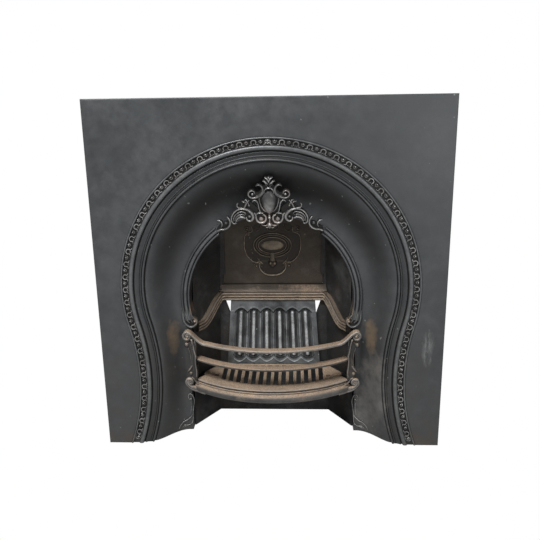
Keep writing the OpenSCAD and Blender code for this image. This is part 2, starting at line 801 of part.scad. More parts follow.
module back_plate() {
  color(dark_iron) difference() {
    union() {
      slab(back_d, rear_y) translate([-back_half, 0]) square([2 * back_half, split_z]);
      both_sides() translate([ledge_x - ledge_w / 2, fireback_foot_front, ledge_top_z - ledge_h])
        cube([ledge_w, back_d + overlap - fireback_foot_front, ledge_h]);
    }
    slab(back_d - overlap, rear_y + overlap) polygon([
      [-window_top_half, window_top_z],
      [-window_foot_half, window_foot_z],
      [window_foot_half, window_foot_z],
      [window_top_half, window_top_z]
    ]);
    both_sides() {
      for (z = back_bolt_z) rod_y(back_bolt_x, z, bolt_r + bolt_gap, back_d - overlap, rear_y + overlap);
      rod_y(lintel_screw_x, lintel_screw_z, lintel_screw_r + bolt_gap, back_d - overlap, rear_y + overlap);
    }
  }
}

// ----------------------------------------------------------- register flap

module flap_frame() {
  low_h = hinge_up + boss_r + 5;
  color(dark_iron) difference() {
    union() {
      slab(back_d, rear_y) difference() {
        translate([-back_half, split_z]) square([2 * back_half, frame_top_z - split_z]);
        translate([-frame_open_half, frame_open_z])
          square([2 * frame_open_half, frame_open_top - frame_open_z]);
        translate([-frame_low_half, frame_open_z]) square([2 * frame_low_half, low_h]);
      }
      both_sides() translate([ear_x, rear_y - overlap, frame_open_z - 4])
        cube([ear_w, hinge_y + boss_r - rear_y + overlap, low_h + 8]);
      translate([-ear_x - overlap, back_d + 1, frame_open_z - 6])
        cube([2 * ear_x + 2 * overlap, sill_d, 6]);
    }
    both_sides() {
      rod_x(ear_x - overlap, ear_x + ear_w + overlap, hinge_y, hinge_z, pin_r + pin_gap);
      for (z = frame_bolt_z) rod_y(back_bolt_x, z, bolt_r + bolt_gap, back_d - overlap, rear_y + overlap);
      rod_y(hood_bolt_x, hood_bolt_z, bolt_r + bolt_gap, back_d - overlap, rear_y + overlap);
    }
  }
}

// Puts its children on the flap: origin on the hinge line, z up along the flap
module on_flap() {
  translate([0, hinge_y, hinge_z]) children();
}

// An upright oval disc on the flap's front
module oval(half_w, half_h, z, front, thick) {
  translate([0, front + thick, z]) rotate([90, 0, 0])
    scale([half_w, half_h, 1]) cylinder(r = 1, h = thick, $fn = 64);
}

flap_front = -hinge_back - flap_t / 2;

// Raised oval and strapwork on the flap
module cartouche() {
  oval_z = 100;
  difference() {
    oval(58, 39, oval_z, flap_front - 3, 3 + overlap);
    oval(47, 29, oval_z, flap_front - 4, 5);
  }
  oval(38, 18, oval_z, flap_front - 4, 4 + overlap);
  both_sides() bead_arc(30, flap_front, oval_z, 54, -62, 60, 2.2);
  bead_arc(0, flap_front, oval_z - 60, 36, 190, 350, 2.4);
  translate([-6, flap_front - 5, oval_z - 62]) cube([12, 5 + overlap, 36]);
}

module damper_flap() {
  color(dark_iron) on_flap() difference() {
    union() {
      translate([-flap_w / 2, flap_front, -hinge_up]) cube([flap_w, flap_t, flap_h]);
      difference() {
        both_sides() rod_x(pin_in - 6, flap_w / 2, 0, 0, boss_r);
        translate([-flap_w, flap_front - boss_r, -boss_r]) cube([2 * flap_w, boss_r, 2 * boss_r]);
      }
      cartouche();
    }
    both_sides() rod_x(pin_in - 2, flap_w, 0, 0, pin_r + pin_gap);
  }
}

module flap_pin() {
  rod_x(pin_in, pin_in + pin_l, hinge_y, hinge_z, pin_r);
}

module flap_pin_right() {
  color(steel) flap_pin();
}

module flap_pin_left() {
  color(steel) mirror([1, 0, 0]) flap_pin();
}

// ------------------------------------------------------------------- hood

module hood_plate() {
  top_back_x = back_x(box_h);
  top_front_x = top_back_x + cheek_dx + cheek_skew;
  color(dark_iron) difference() {
    union() {
      translate([0, 0, box_h]) linear_extrude(box_t) polygon([
        [-top_front_x, joint_d],
        [-top_back_x, back_d],
        [top_back_x, back_d],
        [top_front_x, joint_d]
      ]);
      translate([-leg_x + corner_r, joint_d, box_h]) cube([2 * (leg_x - corner_r), box_t, joint_w]);
      translate([-top_back_x, back_d - box_t, box_h]) cube([2 * top_back_x, box_t, joint_w]);
    }
    both_sides() {
      rod_y(hood_bolt_x, hood_bolt_z, bolt_r + bolt_gap, joint_d - overlap, joint_d + box_t + overlap);
      rod_y(hood_bolt_x, hood_bolt_z, bolt_r + bolt_gap, back_d - box_t - overlap, back_d + overlap);
    }
  }
}

// --------------------------------------------------------------- fireback

fireback_foot_back = back_d - seat_gap - fireback_h * sin(fireback_lean);
fireback_foot_front = fireback_foot_back - fireback_t / cos(fireback_lean) - 1;

// One flute of the fireback: arched above, pointed below
module flute(w, z0, z1) {
  translate([-w / 2, z0]) square([w, z1 - z0]);
  translate([0, z1]) circle(r = w / 2);
  polygon([[-w / 2, z0 + 0.1], [0, z0 - w * 0.42], [w / 2, z0 + 0.1]]);
}

module fireback() {
  flute_z0 = 32;
  flute_z1 = fireback_h - 46;
  flute_deep = 7;
  top_pitch = (fireback_top_w - 12) / rib_count;
  foot_pitch = (fireback_foot_w - 28) / rib_count;
  flute_w = top_pitch * 0.93;
  color(grey_iron)
  translate([0, fireback_foot_back, ledge_top_z + seat_gap])
  rotate([-fireback_lean, 0, 0]) {
    difference() {
      slab(-fireback_t, 0) polygon([
        [-fireback_foot_w / 2, 0],
        [fireback_foot_w / 2, 0],
        [fireback_top_w / 2, fireback_h],
        [-fireback_top_w / 2, fireback_h]
      ]);
      for (i = [0:rib_count - 1]) {
        k = i - (rib_count - 1) / 2;
        a = atan2(k * (foot_pitch - top_pitch), fireback_h);
        translate([k * foot_pitch, 0, 0]) rotate([0, -a, 0])
          slab(-fireback_t - overlap, -fireback_t + flute_deep) flute(flute_w, flute_z0, flute_z1);
      }
    }
    for (i = [0:rib_count - 1]) {
      k = i - (rib_count - 1) / 2;
      a = atan2(k * (foot_pitch - top_pitch), fireback_h);
      translate([k * foot_pitch, -fireback_t + rib_r - 2, 0]) rotate([0, -a, 0]) intersection() {
        translate([0, 0, flute_z0 - 4]) cylinder(r = rib_r, h = flute_z1 - flute_z0 + 8);
        translate([-rib_r, -2 * rib_r, 0]) cube([2 * rib_r, 2 * rib_r + 4, fireback_h]);
      }
    }
  }
}

// ----------------------------------------------------------- bottom grate

// The grate seen from above
module grate_outline() {
  intersection() {
    translate([0, bow_y]) circle(r = grate_front_r);
    polygon([
      [-grate_half_w, 0],
      [-grate_half_w, grate_corner_y],
      [-grate_half_w + 28, grate_corner_y + 40],
      [-grate_half_w + 40, grate_back_y],
      [grate_half_w - 40, grate_back_y],
      [grate_half_w - 28, grate_corner_y + 40],
      [grate_half_w, grate_corner_y],
      [grate_half_w, 0]
    ]);
  }
}

module bottom_grate() {
  hole_x = 165;
  hole_y = 98;
  hole_w = 12;
  color(rusty_iron) translate([0, 0, grate_foot_z]) linear_extrude(grate_t) difference() {
    grate_outline();
    intersection() {
      translate([0, bow_y]) circle(r = grate_front_r - slot_edge);
      for (i = [0:slot_count - 1])
        translate([(i - (slot_count - 1) / 2) * slot_pitch - slot_w / 2, 0])
          square([slot_w, grate_back_y - 12]);
    }
    for (side = [-1, 1])
      translate([side * hole_x - hole_w / 2, hole_y - hole_w / 2]) square(hole_w);
  }
}

// Angle bracket that carries one side of the grate: its wall leans with the cheek, its ledge is
// level, and the ledge's front corner is cut back behind the apron
module grate_rest() {
  function wall_x(y) = front_x - cheek_dx * (y - joint_d) / cheek_dy - grate_foot_z * lean_x - seat_gap;
  difference() {
    union() {
      on_cheek() translate([rest_start, -box_t, grate_foot_z - rest_h])
        cube([rest_l, box_t, rest_h - overlap]);
      translate([0, 0, grate_foot_z - box_t]) linear_extrude(box_t) polygon([
        [rest_in_x, rest_front_y],
        [rest_in_x + 28, rest_front_y],
        [socket_in, socket_front],
        [wall_x(joint_d), socket_front],
        [wall_x(joint_d), joint_d],
        [wall_x(grate_back_y), grate_back_y],
        [rest_in_x - 12, grate_back_y - 24]
      ]);
    }
    on_cheek() for (a = rest_bolts_a) rod_y(a, rest_bolt_z, bolt_r + bolt_gap, -box_t - overlap, overlap);
  }
}

module grate_rest_right() {
  color(dark_iron) grate_rest();
}

module grate_rest_left() {
  color(dark_iron) mirror([1, 0, 0]) grate_rest();
}

// ------------------------------------------------------------- front fret

// Revolves a bar's section about the bow's centre, out to half width x
module bow_sweep(x) {
  a = asin(x / bow_r);
  translate([0, bow_y, 0]) rotate([0, 0, -90 - a]) rotate_extrude(angle = 2 * a) children();
}

// Section of a bar: flat, with a rounded front edge
module bar_section(top_z) {
  translate([bow_r - bar_w, top_z - bar_t]) square([bar_w - bar_t / 2, bar_t]);
  translate([bow_r - bar_t / 2, top_z - bar_t / 2]) circle(r = bar_t / 2);
}

// Section of the apron: rim, hollow, bead and the bellied moulding below
module apron_section() {
  wall = 9;
  nose_r = bow_r + apron_bulge;
  belly_h = apron_h * 0.66;
  belly_z = apron_foot_z + belly_h / 2;
  polygon(concat(
    [[rim_in_r, apron_z], [bow_r - 1, apron_z], [bow_r, apron_z - 1], [bow_r - 1, apron_z - 3]],
    [[bow_r - 5, apron_z - 7], [bow_r - 2, apron_z - 8], [bow_r - 1, apron_z - 10]],
    [[bow_r - 4, apron_z - 12]],
    [for (a = [70:-28:-70]) [bow_r - 4 + (nose_r - bow_r + 4) * cos(a), belly_z + belly_h / 2 * sin(a)]],
    [[bow_r - 8, apron_foot_z], [bow_r - 8 - wall, apron_foot_z + 3]],
    [[bow_r - 8 - wall, apron_z - 10], [rim_in_r, apron_z - 8]]
  ));
}

// An end piece of the fret, seen from the front
module stile_outline() {
  translate([volute_x, volute_z]) circle(r = volute_r);
  translate([volute_x + 8, volute_z - 26]) circle(r = 6);
  polygon([
    [stile_in, volute_z - 16],
    [stile_in + 8, volute_z + 6],
    [volute_x + 6, volute_z - 10],
    [volute_x + 6, volute_z - 30],
    [volute_x - 4, volute_z - 48],
    [volute_x - 5, scroll_z + 48],
    [volute_x + 4, scroll_z + 30],
    [scroll_x + 8, scroll_z + 6],
    [scroll_x, apron_foot_z + 8],
    [stile_in - 4, apron_foot_z + 2],
    [stile_in - 4, apron_z - 2]
  ]);
  translate([volute_x + 3, scroll_z + 32]) circle(r = 5.5);
  translate([scroll_x, scroll_z]) circle(r = 14);
}

// The strip that lifts the top bar's end onto the volute
module bar_swan_neck() {
  x0 = 188;
  run = volute_x - 8 - x0;
  sunk_z = top_bar_z - 1.5;
  rise = volute_z + volute_r - sunk_z;
  function neck_z(u) = sunk_z + rise * (1 - cos(180 * u)) / 2;
  steps = 8;
  slab(stile_d - 6, stile_back + 9) polygon(concat(
    [for (i = [0:steps]) [x0 + run * i / steps, neck_z(i / steps)]],
    [for (i = [steps:-1:0]) [x0 + run * i / steps, neck_z(i / steps) - bar_t + 3 - 6 * i / steps]]
  ));
}

// Raised ridge that curls on the front of an end piece
module scroll_ridge(x, z, r, w, a0, a1) {
  relief = 3;
  sweep_arc(x, z, a0, a1) translate([r - w / 2, -stile_d - overlap]) square([w, relief + overlap]);
}

module fret_frame() {
  color(rusty_iron) {
    bow_sweep(stile_in - 18) bar_section(top_bar_z);
    difference() {
      bow_sweep(stile_in + 4) apron_section();
      rod_y(12, apron_foot_z + 14, 2, -nose_d - overlap, stile_d);
    }
    both_sides() difference() {
      union() {
        slab(stile_d, stile_back) stile_outline();
        bar_swan_neck();
        sweep_arc(volute_x, volute_z, -50, 122)
          translate([volute_r - bar_t * 0.6, -stile_back - 8.5]) square([bar_t * 0.6 + 0.4, stile_t + 14]);
        translate([middle_bar_half + seat_gap, stile_back - overlap, rivet_z - 8])
          cube([lug_t, lug_reach, 16]);
        scroll_ridge(volute_x, volute_z, volute_r - 3, 4, -60, 200);
        scroll_ridge(volute_x, volute_z, 6, 4, 20, 330);
        scroll_ridge(scroll_x, scroll_z, 11, 3.5, -80, 180);
        scroll_ridge(scroll_x, scroll_z, 5, 3.5, 20, 330);
        translate([tongue_x - tongue_t / 2, stile_back - overlap, tongue_z])
          cube([tongue_t, hook_y + hook_w - stile_back + overlap, 16]);
        translate([tongue_x - tongue_t / 2, hook_y, hook_foot_z])
          cube([tongue_t, hook_w, tongue_z + 16 - hook_foot_z]);
      }
      translate([stile_in - 10, stile_d - 4, middle_bar_z - bar_t - seat_gap])
        cube([middle_bar_half - stile_in + 10 + seat_gap, stile_t + 6, bar_t + 2 * seat_gap]);
      rod_x(middle_bar_half, middle_bar_half + lug_t + 2, rivet_y, rivet_z, rivet_r + pin_gap);
    }
  }
}

module fret_middle_bar() {
  color(rusty_iron) difference() {
    bow_sweep(middle_bar_half + 2) bar_section(middle_bar_z);
    both_sides() translate([middle_bar_half, -bow_r, 0]) cube([bow_r, 2 * bow_r, plate_h]);
    both_sides() rod_x(rivet_in - 1, middle_bar_half + 1, rivet_y, rivet_z, rivet_r + pin_gap);
  }
}

module fret_rivets() {
  rivet_out = middle_bar_half + seat_gap + lug_t;
  color(steel) both_sides() {
    rod_x(rivet_in, rivet_out + 1, rivet_y, rivet_z, rivet_r);
    rod_x(rivet_out, rivet_out + 1.5, rivet_y, rivet_z, 1.6 * rivet_r);
  }
}

module fret_socket() {
  difference() {
    translate([socket_in, socket_front, socket_foot_z])
      cube([leg_x - socket_in, socket_depth, tongue_z - seat_gap - socket_foot_z]);
    translate([tongue_x - tongue_t / 2 - tongue_gap, hook_y - tongue_gap, hook_foot_z - seat_gap])
      cube([tongue_t + 2 * tongue_gap, hook_w + 2 * tongue_gap, tongue_z]);
    rod_x(socket_in + 4, leg_x + overlap, hook_mid_y, socket_screw_z, screw_r);
  }
}

module fret_socket_right() {
  color(black_iron) fret_socket();
}

module fret_socket_left() {
  color(black_iron) mirror([1, 0, 0]) fret_socket();
}

module socket_screws() {
  color(steel) both_sides() {
    rod_x(socket_in + 4.5, leg_x + return_t + overlap, hook_mid_y, socket_screw_z, screw_r - pin_gap);
    rod_x(leg_x + return_t, leg_x + return_t + 3, hook_mid_y, socket_screw_z, 1.7 * screw_r);
  }
}

// ------------------------------------------------------------- fastenings

module arch_bolts() {
  color(steel) both_sides() for (z = arch_bolt_z)
    bolt_y(arch_bolt_x, z, joint_d - box_t, joint_d + box_t + nut_h + bolt_stub, bolt_r);
}

module arch_nuts() {
  color(steel) both_sides() for (z = arch_bolt_z) nut_y(arch_bolt_x, z, joint_d + box_t);
}

module back_bolts() {
  color(steel) both_sides() for (z = concat(back_bolt_z, frame_bolt_z))
    bolt_y(back_bolt_x, z, back_d - box_t, bolt_end, bolt_r);
}

module back_nuts() {
  color(steel) both_sides() for (z = concat(back_bolt_z, frame_bolt_z)) nut_y(back_bolt_x, z, rear_y);
}

module hood_bolts() {
  color(steel) both_sides() {
    bolt_y(hood_bolt_x, hood_bolt_z, joint_d - box_t, joint_d + box_t + nut_h + bolt_stub, bolt_r);
    bolt_y(hood_bolt_x, hood_bolt_z, back_d - box_t, bolt_end, bolt_r);
  }
}

module hood_nuts() {
  color(steel) both_sides() {
    nut_y(hood_bolt_x, hood_bolt_z, joint_d + box_t);
    nut_y(hood_bolt_x, hood_bolt_z, rear_y);
  }
}

module rest_bolts() {
  color(steel) both_sides() on_cheek() for (a = rest_bolts_a)
    bolt_y(a, rest_bolt_z, -box_t, box_t + nut_h + bolt_stub, bolt_r);
}

module rest_nuts() {
  color(steel) both_sides() on_cheek() for (a = rest_bolts_a) nut_y(a, rest_bolt_z, box_t);
}

// ------------------------------------------------------------------ nodes

in_frame() front_plate();
in_frame() arch_crest();
in_frame() crest_screws();
in_frame() cheek_left();
in_frame() cheek_right();
in_frame() lintel();
in_frame() lintel_screws();
in_frame() back_plate();
in_frame() flap_frame();
in_frame() hood_plate();
in_frame() damper_flap();
in_frame() flap_pin_left();
in_frame() flap_pin_right();
in_frame() fireback();
in_frame() bottom_grate();
in_frame() grate_rest_left();
in_frame() grate_rest_right();
in_frame() fret_frame();
in_frame() fret_middle_bar();
in_frame() fret_rivets();
in_frame() fret_socket_left();
in_frame() fret_socket_right();
in_frame() socket_screws();
in_frame() arch_bolts();
in_frame() arch_nuts();
in_frame() back_bolts();
in_frame() back_nuts();
in_frame() hood_bolts();
in_frame() hood_nuts();
in_frame() rest_bolts();
in_frame() rest_nuts();
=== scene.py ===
# %% [markdown]
# # An arched cast iron fireplace insert
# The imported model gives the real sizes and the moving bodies: a fixed casting, a hinged flap, and a
# fret and a grate that lift out. This script builds the castings again with their full ornament,
# gives them iron that looks used, and sets up a plain studio.
#
# Lengths are in millimetres, and depths count from the face of the front plate towards the back.
# They become metres where a mesh is made.

import math

import bmesh
import bpy
import numpy as np
from mathutils import Matrix, Vector


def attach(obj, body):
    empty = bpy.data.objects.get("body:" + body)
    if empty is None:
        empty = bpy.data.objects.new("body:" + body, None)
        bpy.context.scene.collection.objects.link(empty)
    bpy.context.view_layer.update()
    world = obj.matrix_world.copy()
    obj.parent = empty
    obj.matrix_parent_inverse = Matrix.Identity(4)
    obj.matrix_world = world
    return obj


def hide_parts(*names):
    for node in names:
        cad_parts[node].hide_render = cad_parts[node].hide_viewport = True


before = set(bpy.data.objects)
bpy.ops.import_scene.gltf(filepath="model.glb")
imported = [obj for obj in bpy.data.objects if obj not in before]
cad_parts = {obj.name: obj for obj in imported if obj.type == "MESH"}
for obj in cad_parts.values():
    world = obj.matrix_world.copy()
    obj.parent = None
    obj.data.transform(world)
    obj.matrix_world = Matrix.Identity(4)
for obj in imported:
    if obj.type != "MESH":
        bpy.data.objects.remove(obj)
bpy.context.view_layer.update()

# %% [markdown]
# ## Helpers that make meshes
# A casting has hollows, beads and undercuts, but few of its forms are boxes. They could be built with
# modifiers on simple solids. Here each is a list of rings of points, joined by faces, because every
# point can then be worked out from the casting's own sizes.
#
# A `Shape` collects the surfaces of one casting. Each point also remembers its relief: 1 on the
# crest of a moulding, 0 on a plain face, -1 in a hollow. The materials use it to rub the high places
# bright, with a painted highlight there too, and to darken the low ones with dirt and painted shade,
# which a noise alone can't know.

# %% Shape and piece
MM = 0.001
FACE_Y = -100.15


class Shape:
    """Surfaces of one casting: points in millimetres, faces, and how far each point stands proud."""

    def __init__(self):
        self.points = []
        self.faces = []
        self.relief = []

    def add(self, points, faces, relief=0.0):
        start = len(self.points)
        self.points.extend(tuple(p) for p in points)
        self.faces.extend(tuple(start + i for i in face) for face in faces)
        even = not hasattr(relief, "__len__")
        self.relief.extend([relief] * len(points) if even else relief)

    def mirrored(self):
        """Adds the same surfaces on the other side of the middle plane."""
        points = [(-x, y, z) for x, y, z in self.points]
        faces = [face[::-1] for face in self.faces]
        self.add(points, faces, list(self.relief))
        return self


def grid(rows, cols, closed=False):
    """Faces of a grid of points; closed joins its last column to its first."""
    last = cols if closed else cols - 1
    return [
        (r * cols + c, r * cols + (c + 1) % cols, (r + 1) * cols + (c + 1) % cols, (r + 1) * cols + c)
        for r in range(rows - 1)
        for c in range(last)
    ]


def add_tube(shape, rings, relief=0.0):
    """A closed solid through rings of points, with a cap on each end."""
    rows, cols = len(rings), len(rings[0])
    caps = [tuple(range(cols)), tuple(range((rows - 1) * cols, rows * cols))[::-1]]
    shape.add([p for ring in rings for p in ring], grid(rows, cols, True) + caps, relief)


def finish_mesh(name, mesh, body, material, replaced, sharp=38):
    """Turns a mesh into a piece that moves with its body."""
    mesh.shade_smooth()
    mesh.set_sharp_from_angle(angle=math.radians(sharp))
    mesh.materials.clear()
    mesh.materials.append(material)
    piece = bpy.data.objects.new(name, mesh)
    bpy.context.scene.collection.objects.link(piece)
    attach(piece, body)
    if replaced:
        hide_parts(*replaced)
    return piece


def make_piece(name, shape, body, material, replaced=(), sharp=38):
    mesh = bpy.data.meshes.new(name)
    metres = np.array(shape.points, float)
    metres[:, 1] += FACE_Y
    mesh.from_pydata((metres * MM).tolist(), [], shape.faces)
    mesh.attributes.new("relief", "FLOAT", "POINT").data.foreach_set("value", shape.relief)
    work = bmesh.new()
    work.from_mesh(mesh)
    bmesh.ops.remove_doubles(work, verts=work.verts, dist=1e-6)
    bmesh.ops.recalc_face_normals(work, faces=work.faces)
    work.to_mesh(mesh)
    work.free()
    print(f"{name}: {len(mesh.polygons)} faces")
    return finish_mesh(name, mesh, body, material, replaced, sharp)


def make_softened(name, node, body, material, radius=0.5):
    """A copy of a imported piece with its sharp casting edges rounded."""
    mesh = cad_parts[node].data.copy()
    mesh.name = name
    work = bmesh.new()
    work.from_mesh(mesh)
    bmesh.ops.remove_doubles(work, verts=work.verts, dist=1e-5)
    bmesh.ops.dissolve_limit(
        work, angle_limit=math.radians(0.4), verts=work.verts, edges=work.edges, delimit={"NORMAL"}
    )
    sharp = [e for e in work.edges if len(e.link_faces) == 2 and e.calc_face_angle() > math.radians(35)]
    bmesh.ops.bevel(
        work, geom=sharp, offset=radius * MM, segments=2, profile=0.6, affect="EDGES",
        clamp_overlap=True,
    )
    work.to_mesh(mesh)
    work.free()
    mesh.attributes.new("relief", "FLOAT", "POINT")
    return finish_mesh(name, mesh, body, material, (node,))


# %% [markdown]
# ## Helpers for ornament
# The pattern maker carved the ornament in wood as lines that swell and taper, with buds and balls
# between them. Curve objects with a taper could do the same. Here a ridge follows a line and a ball
# sits on a point, so that both can lie on any surface: flat, leaning, or on the hollow cove.
# A surface is a function from two flat coordinates and a height to a place in space.

# %% Curves, ridges and balls
def smooth(points, steps=6):
    """A smooth curve through a few points."""
    p = np.array(points, float)
    p = np.vstack([2 * p[0] - p[1], p, 2 * p[-1] - p[-2]])
    curve = []
    for i in range(1, len(p) - 2):
        before, start, end, after = p[i - 1:i + 3]
        for j in range(steps):
            t = j / steps
            curve.append(0.5 * (
                2 * start + (end - before) * t + (2 * before - 5 * start + 4 * end - after) * t * t
                + (3 * start - before - 3 * end + after) * t ** 3
            ))
    return np.array(curve + [p[-2]])


def spiral(x, z, r0, r1, a0, a1, steps=28):
    """A curve that winds round (x, z) from radius r0 at angle a0 to radius r1 at angle a1."""
    t = np.linspace(0, 1, steps)
    r = r0 + (r1 - r0) * t
    a = np.radians(a0 + (a1 - a0) * t)
    return np.stack([x + r * np.cos(a), z + r * np.sin(a)], 1)


def along(values, t):
    """Reads a number, or a list of numbers spread evenly along a curve, at t from 0 to 1."""
    if not hasattr(values, "__len__"):
        return values
    return float(np.interp(t, np.linspace(0, 1, len(values)), values))


def ridge(shape, path, width, height, surface, sink=1.5, around=8, vein=0.0, shine=1.0):
    """A raised bead along a path.

    A vein above 0 hollows its middle, and shine says how bright its crest is, as rubbed wear and a
    painted highlight. Its foot gets painted shade where it meets the surface.
    """
    path = np.array(path, float)
    tangent = np.gradient(path, axis=0)
    tangent /= np.linalg.norm(tangent, axis=1)[:, None] + 1e-9
    side = np.stack([-tangent[:, 1], tangent[:, 0]], 1)
    rings, relief = [], []
    for i, point in enumerate(path):
        t = i / (len(path) - 1)
        half = along(width, t) / 2
        high = along(height, t)
        ring = []
        for k in range(around + 1):
            a = math.pi * k / around
            across = math.cos(a)
            groove = math.exp(-(across / 0.3) ** 2)
            up = high * (math.sin(a) - vein * groove)
            up = -sink if k in (0, around) else up
            u, v = point + side[i] * half * across
            ring.append(surface(u, v, up))
            crest = math.sin(a) ** 2 - 0.4 * vein * groove
            relief.append((0.6 + shine) * crest - 0.6)
        rings.append(ring)
    add_tube(shape, rings, relief)


def ball(shape, x, z, r, surface, height=None, sink=1.5, around=16, shine=1.0):
    """A round boss on a surface; its top rubbed and highlit, its foot in painted shade."""
    height = r if height is None else height
    levels = 6
    rings, relief = [], []
    for i in range(levels + 1):
        a = math.pi / 2 * i / (levels + 0.3)
        up = -sink if i == 0 else height * math.sin(a)
        rings.append([
            surface(
                x + r * math.cos(a) * math.cos(2 * math.pi * k / around),
                z + r * math.cos(a) * math.sin(2 * math.pi * k / around),
                up,
            )
            for k in range(around)
        ])
        relief.extend([(0.6 + shine) * math.sin(a) - 0.6] * around)
    add_tube(shape, rings, relief)


def slab(shape, outline, y0, y1, relief=0.0, edge=0.0):
    """A flat outline in x and z made solid from depth y0 to y1, with a small bevel in front."""
    outline = np.array(outline, float)
    if edge:
        tangent = np.roll(outline, -1, 0) - np.roll(outline, 1, 0)
        tangent /= np.linalg.norm(tangent, axis=1)[:, None]
        following = np.roll(outline, -1, 0)
        area = np.sum(outline[:, 0] * following[:, 1] - following[:, 0] * outline[:, 1])
        inward = np.stack([-tangent[:, 1], tangent[:, 0]], 1) * (1 if area > 0 else -1)
        inner = outline + inward * edge
        rings = [[(x, y0, z) for x, z in inner], [(x, y0 + edge, z) for x, z in outline]]
    else:
        rings = [[(x, y0, z) for x, z in outline]]
    rings.append([(x, y1, z) for x, z in outline])
    add_tube(shape, rings, relief)


def ring_plate(shape, inner, outer, y0, y1, to_space=lambda u, v, y: (u, y, v)):
    """A flat ring between two outlines with as many points each."""
    rings = [
        [to_space(*near, y0), to_space(*far, y0), to_space(*far, y1), to_space(*near, y1)]
        for near, far in zip(inner, outer)
    ]
    add_tube(shape, rings)


def box(shape, low, high):
    (x0, y0, z0), (x1, y1, z1) = low, high
    slab(shape, [(x0, z0), (x1, z0), (x1, z1), (x0, z1)], y0, y1)


def at_depth(y):
    """A flat upright surface that faces the room at depth y."""
    return lambda u, v, up: (u, y - up, v)


# %% [markdown]
# ## Node groups shared by the materials
# The whole insert is one kind of metal in many states: blacked, sooted, rusted, rubbed bright. So the
# skin of a sand casting and the wear on it, with painted shade in the hollows and a painted highlight
# on the crests, are two node groups, used by every finish with its own amounts. They give out only
# colours, masks and heights; each material feeds them to its own shader.

# %% A small helper for node trees
class Tree:
    """Adds nodes to a tree and links them in one go."""

    def __init__(self, tree):
        self.tree = tree

    def add(self, kind, inputs=None, **settings):
        node = self.tree.nodes.new(kind)
        for name, value in settings.items():
            setattr(node, name, value)
        for name, value in (inputs or {}).items():
            if isinstance(value, bpy.types.NodeSocket):
                self.tree.links.new(value, node.inputs[name])
            else:
                node.inputs[name].default_value = value
        return node

    def math(self, operation, a, b=0.0, clamp=False):
        node = self.add("ShaderNodeMath", {0: a, 1: b}, operation=operation)
        node.use_clamp = clamp
        return node.outputs[0]

    def spread(self, value, low, high, to_low=0.0, to_high=1.0):
        """Stretches the part of a value between low and high, and clamps the rest."""
        node = self.add(
            "ShaderNodeMapRange",
            {"Value": value, "From Min": low, "From Max": high, "To Min": to_low, "To Max": to_high},
        )
        return node.outputs["Result"]

    def mix(self, factor, a, b, blend="MIX"):
        node = self.add("ShaderNodeMix", {0: factor, 6: a, 7: b}, data_type="RGBA", blend_type=blend)
        return node.outputs[2]

    def noise(self, vector, scale, detail=4.0, rough=0.55, stretch=None):
        if stretch:
            scales, turns = stretch
            turned = self.add(
                "ShaderNodeMapping", {"Vector": vector, "Scale": scales, "Rotation": turns}
            )
            vector = turned.outputs["Vector"]
        node = self.add(
            "ShaderNodeTexNoise",
            {"Vector": vector, "Scale": scale, "Detail": detail, "Roughness": rough},
        )
        return node.outputs["Fac"]


def new_group(name, inputs, outputs):
    """A shader node group with named sockets: (name, kind, default) for each."""
    group = bpy.data.node_groups.new(name, "ShaderNodeTree")
    for direction, sockets in (("INPUT", inputs), ("OUTPUT", outputs)):
        for socket_name, kind, default in sockets:
            socket = group.interface.new_socket(
                name=socket_name, in_out=direction, socket_type="NodeSocket" + kind
            )
            if default is not None:
                socket.default_value = default
    tree = Tree(group)
    return tree, tree.add("NodeGroupInput").outputs, tree.add("NodeGroupOutput").inputs


# %% [markdown]
# ### The skin of a sand casting
# Iron poured in sand comes out grainy, with small pits and slow changes of tone. Three noises of
# different size make both the colour and the height of that skin, and a cell pattern adds the pits.

# %% Sand-cast skin: mottled colour and a grainy height
PITS_PER_M = 190.0


def sand_cast_group():
    tree, given, result = new_group(
        "Sand cast skin",
        [("Vector", "Vector", None), ("Colour", "Color", (0.1, 0.1, 0.1, 1)), ("Mottle", "Float", 0.3),
         ("Grain", "Float", 1.0)],
        [("Colour", "Color", None), ("Height", "Float", None), ("Patches", "Float", None)],
    )
    broad = tree.noise(given["Vector"], 5.0, 3.0, 0.5)
    patches = tree.noise(given["Vector"], 34.0, 5.0, 0.62)
    grain = tree.noise(given["Vector"], 420.0, 3.0, 0.7)
    pits = tree.add("ShaderNodeTexVoronoi", {"Vector": given["Vector"], "Scale": PITS_PER_M})
    pit_depth = tree.spread(pits.outputs["Distance"], 0.0, 0.22, -1.0, 0.0)
    light = tree.math("ADD", tree.math("MULTIPLY", broad, 0.6), tree.math("MULTIPLY", patches, 0.4))
    shade = tree.spread(light, 0.36, 0.64, 1.0, -1.0)
    shadow = tree.math("MULTIPLY", tree.spread(shade, 0.0, 1.0), given["Mottle"])
    dark = tree.mix(shadow, given["Colour"], (0, 0, 0, 1))
    faint = tree.math("MULTIPLY", given["Mottle"], 0.16)
    pale = tree.math("MULTIPLY", tree.spread(shade, 0.0, -1.0), faint)
    fine = tree.math("MULTIPLY", tree.spread(grain, 0.35, 0.7, -0.012, 0.02), given["Grain"])
    grains = tree.add("ShaderNodeCombineColor", {0: fine, 1: fine, 2: fine}).outputs[0]
    toned = tree.mix(pale, dark, (1, 1, 1, 1))
    tree.tree.links.new(tree.mix(1.0, toned, grains, "ADD"), result["Colour"])
    height = tree.math("ADD", tree.math("MULTIPLY", grain, 0.55), tree.math("MULTIPLY", patches, 0.6))
    height = tree.math("ADD", height, tree.math("MULTIPLY", pit_depth, 0.25))
    tree.tree.links.new(tree.math("MULTIPLY", height, given["Grain"]), result["Height"])
    tree.tree.links.new(patches, result["Patches"])
    return tree.tree
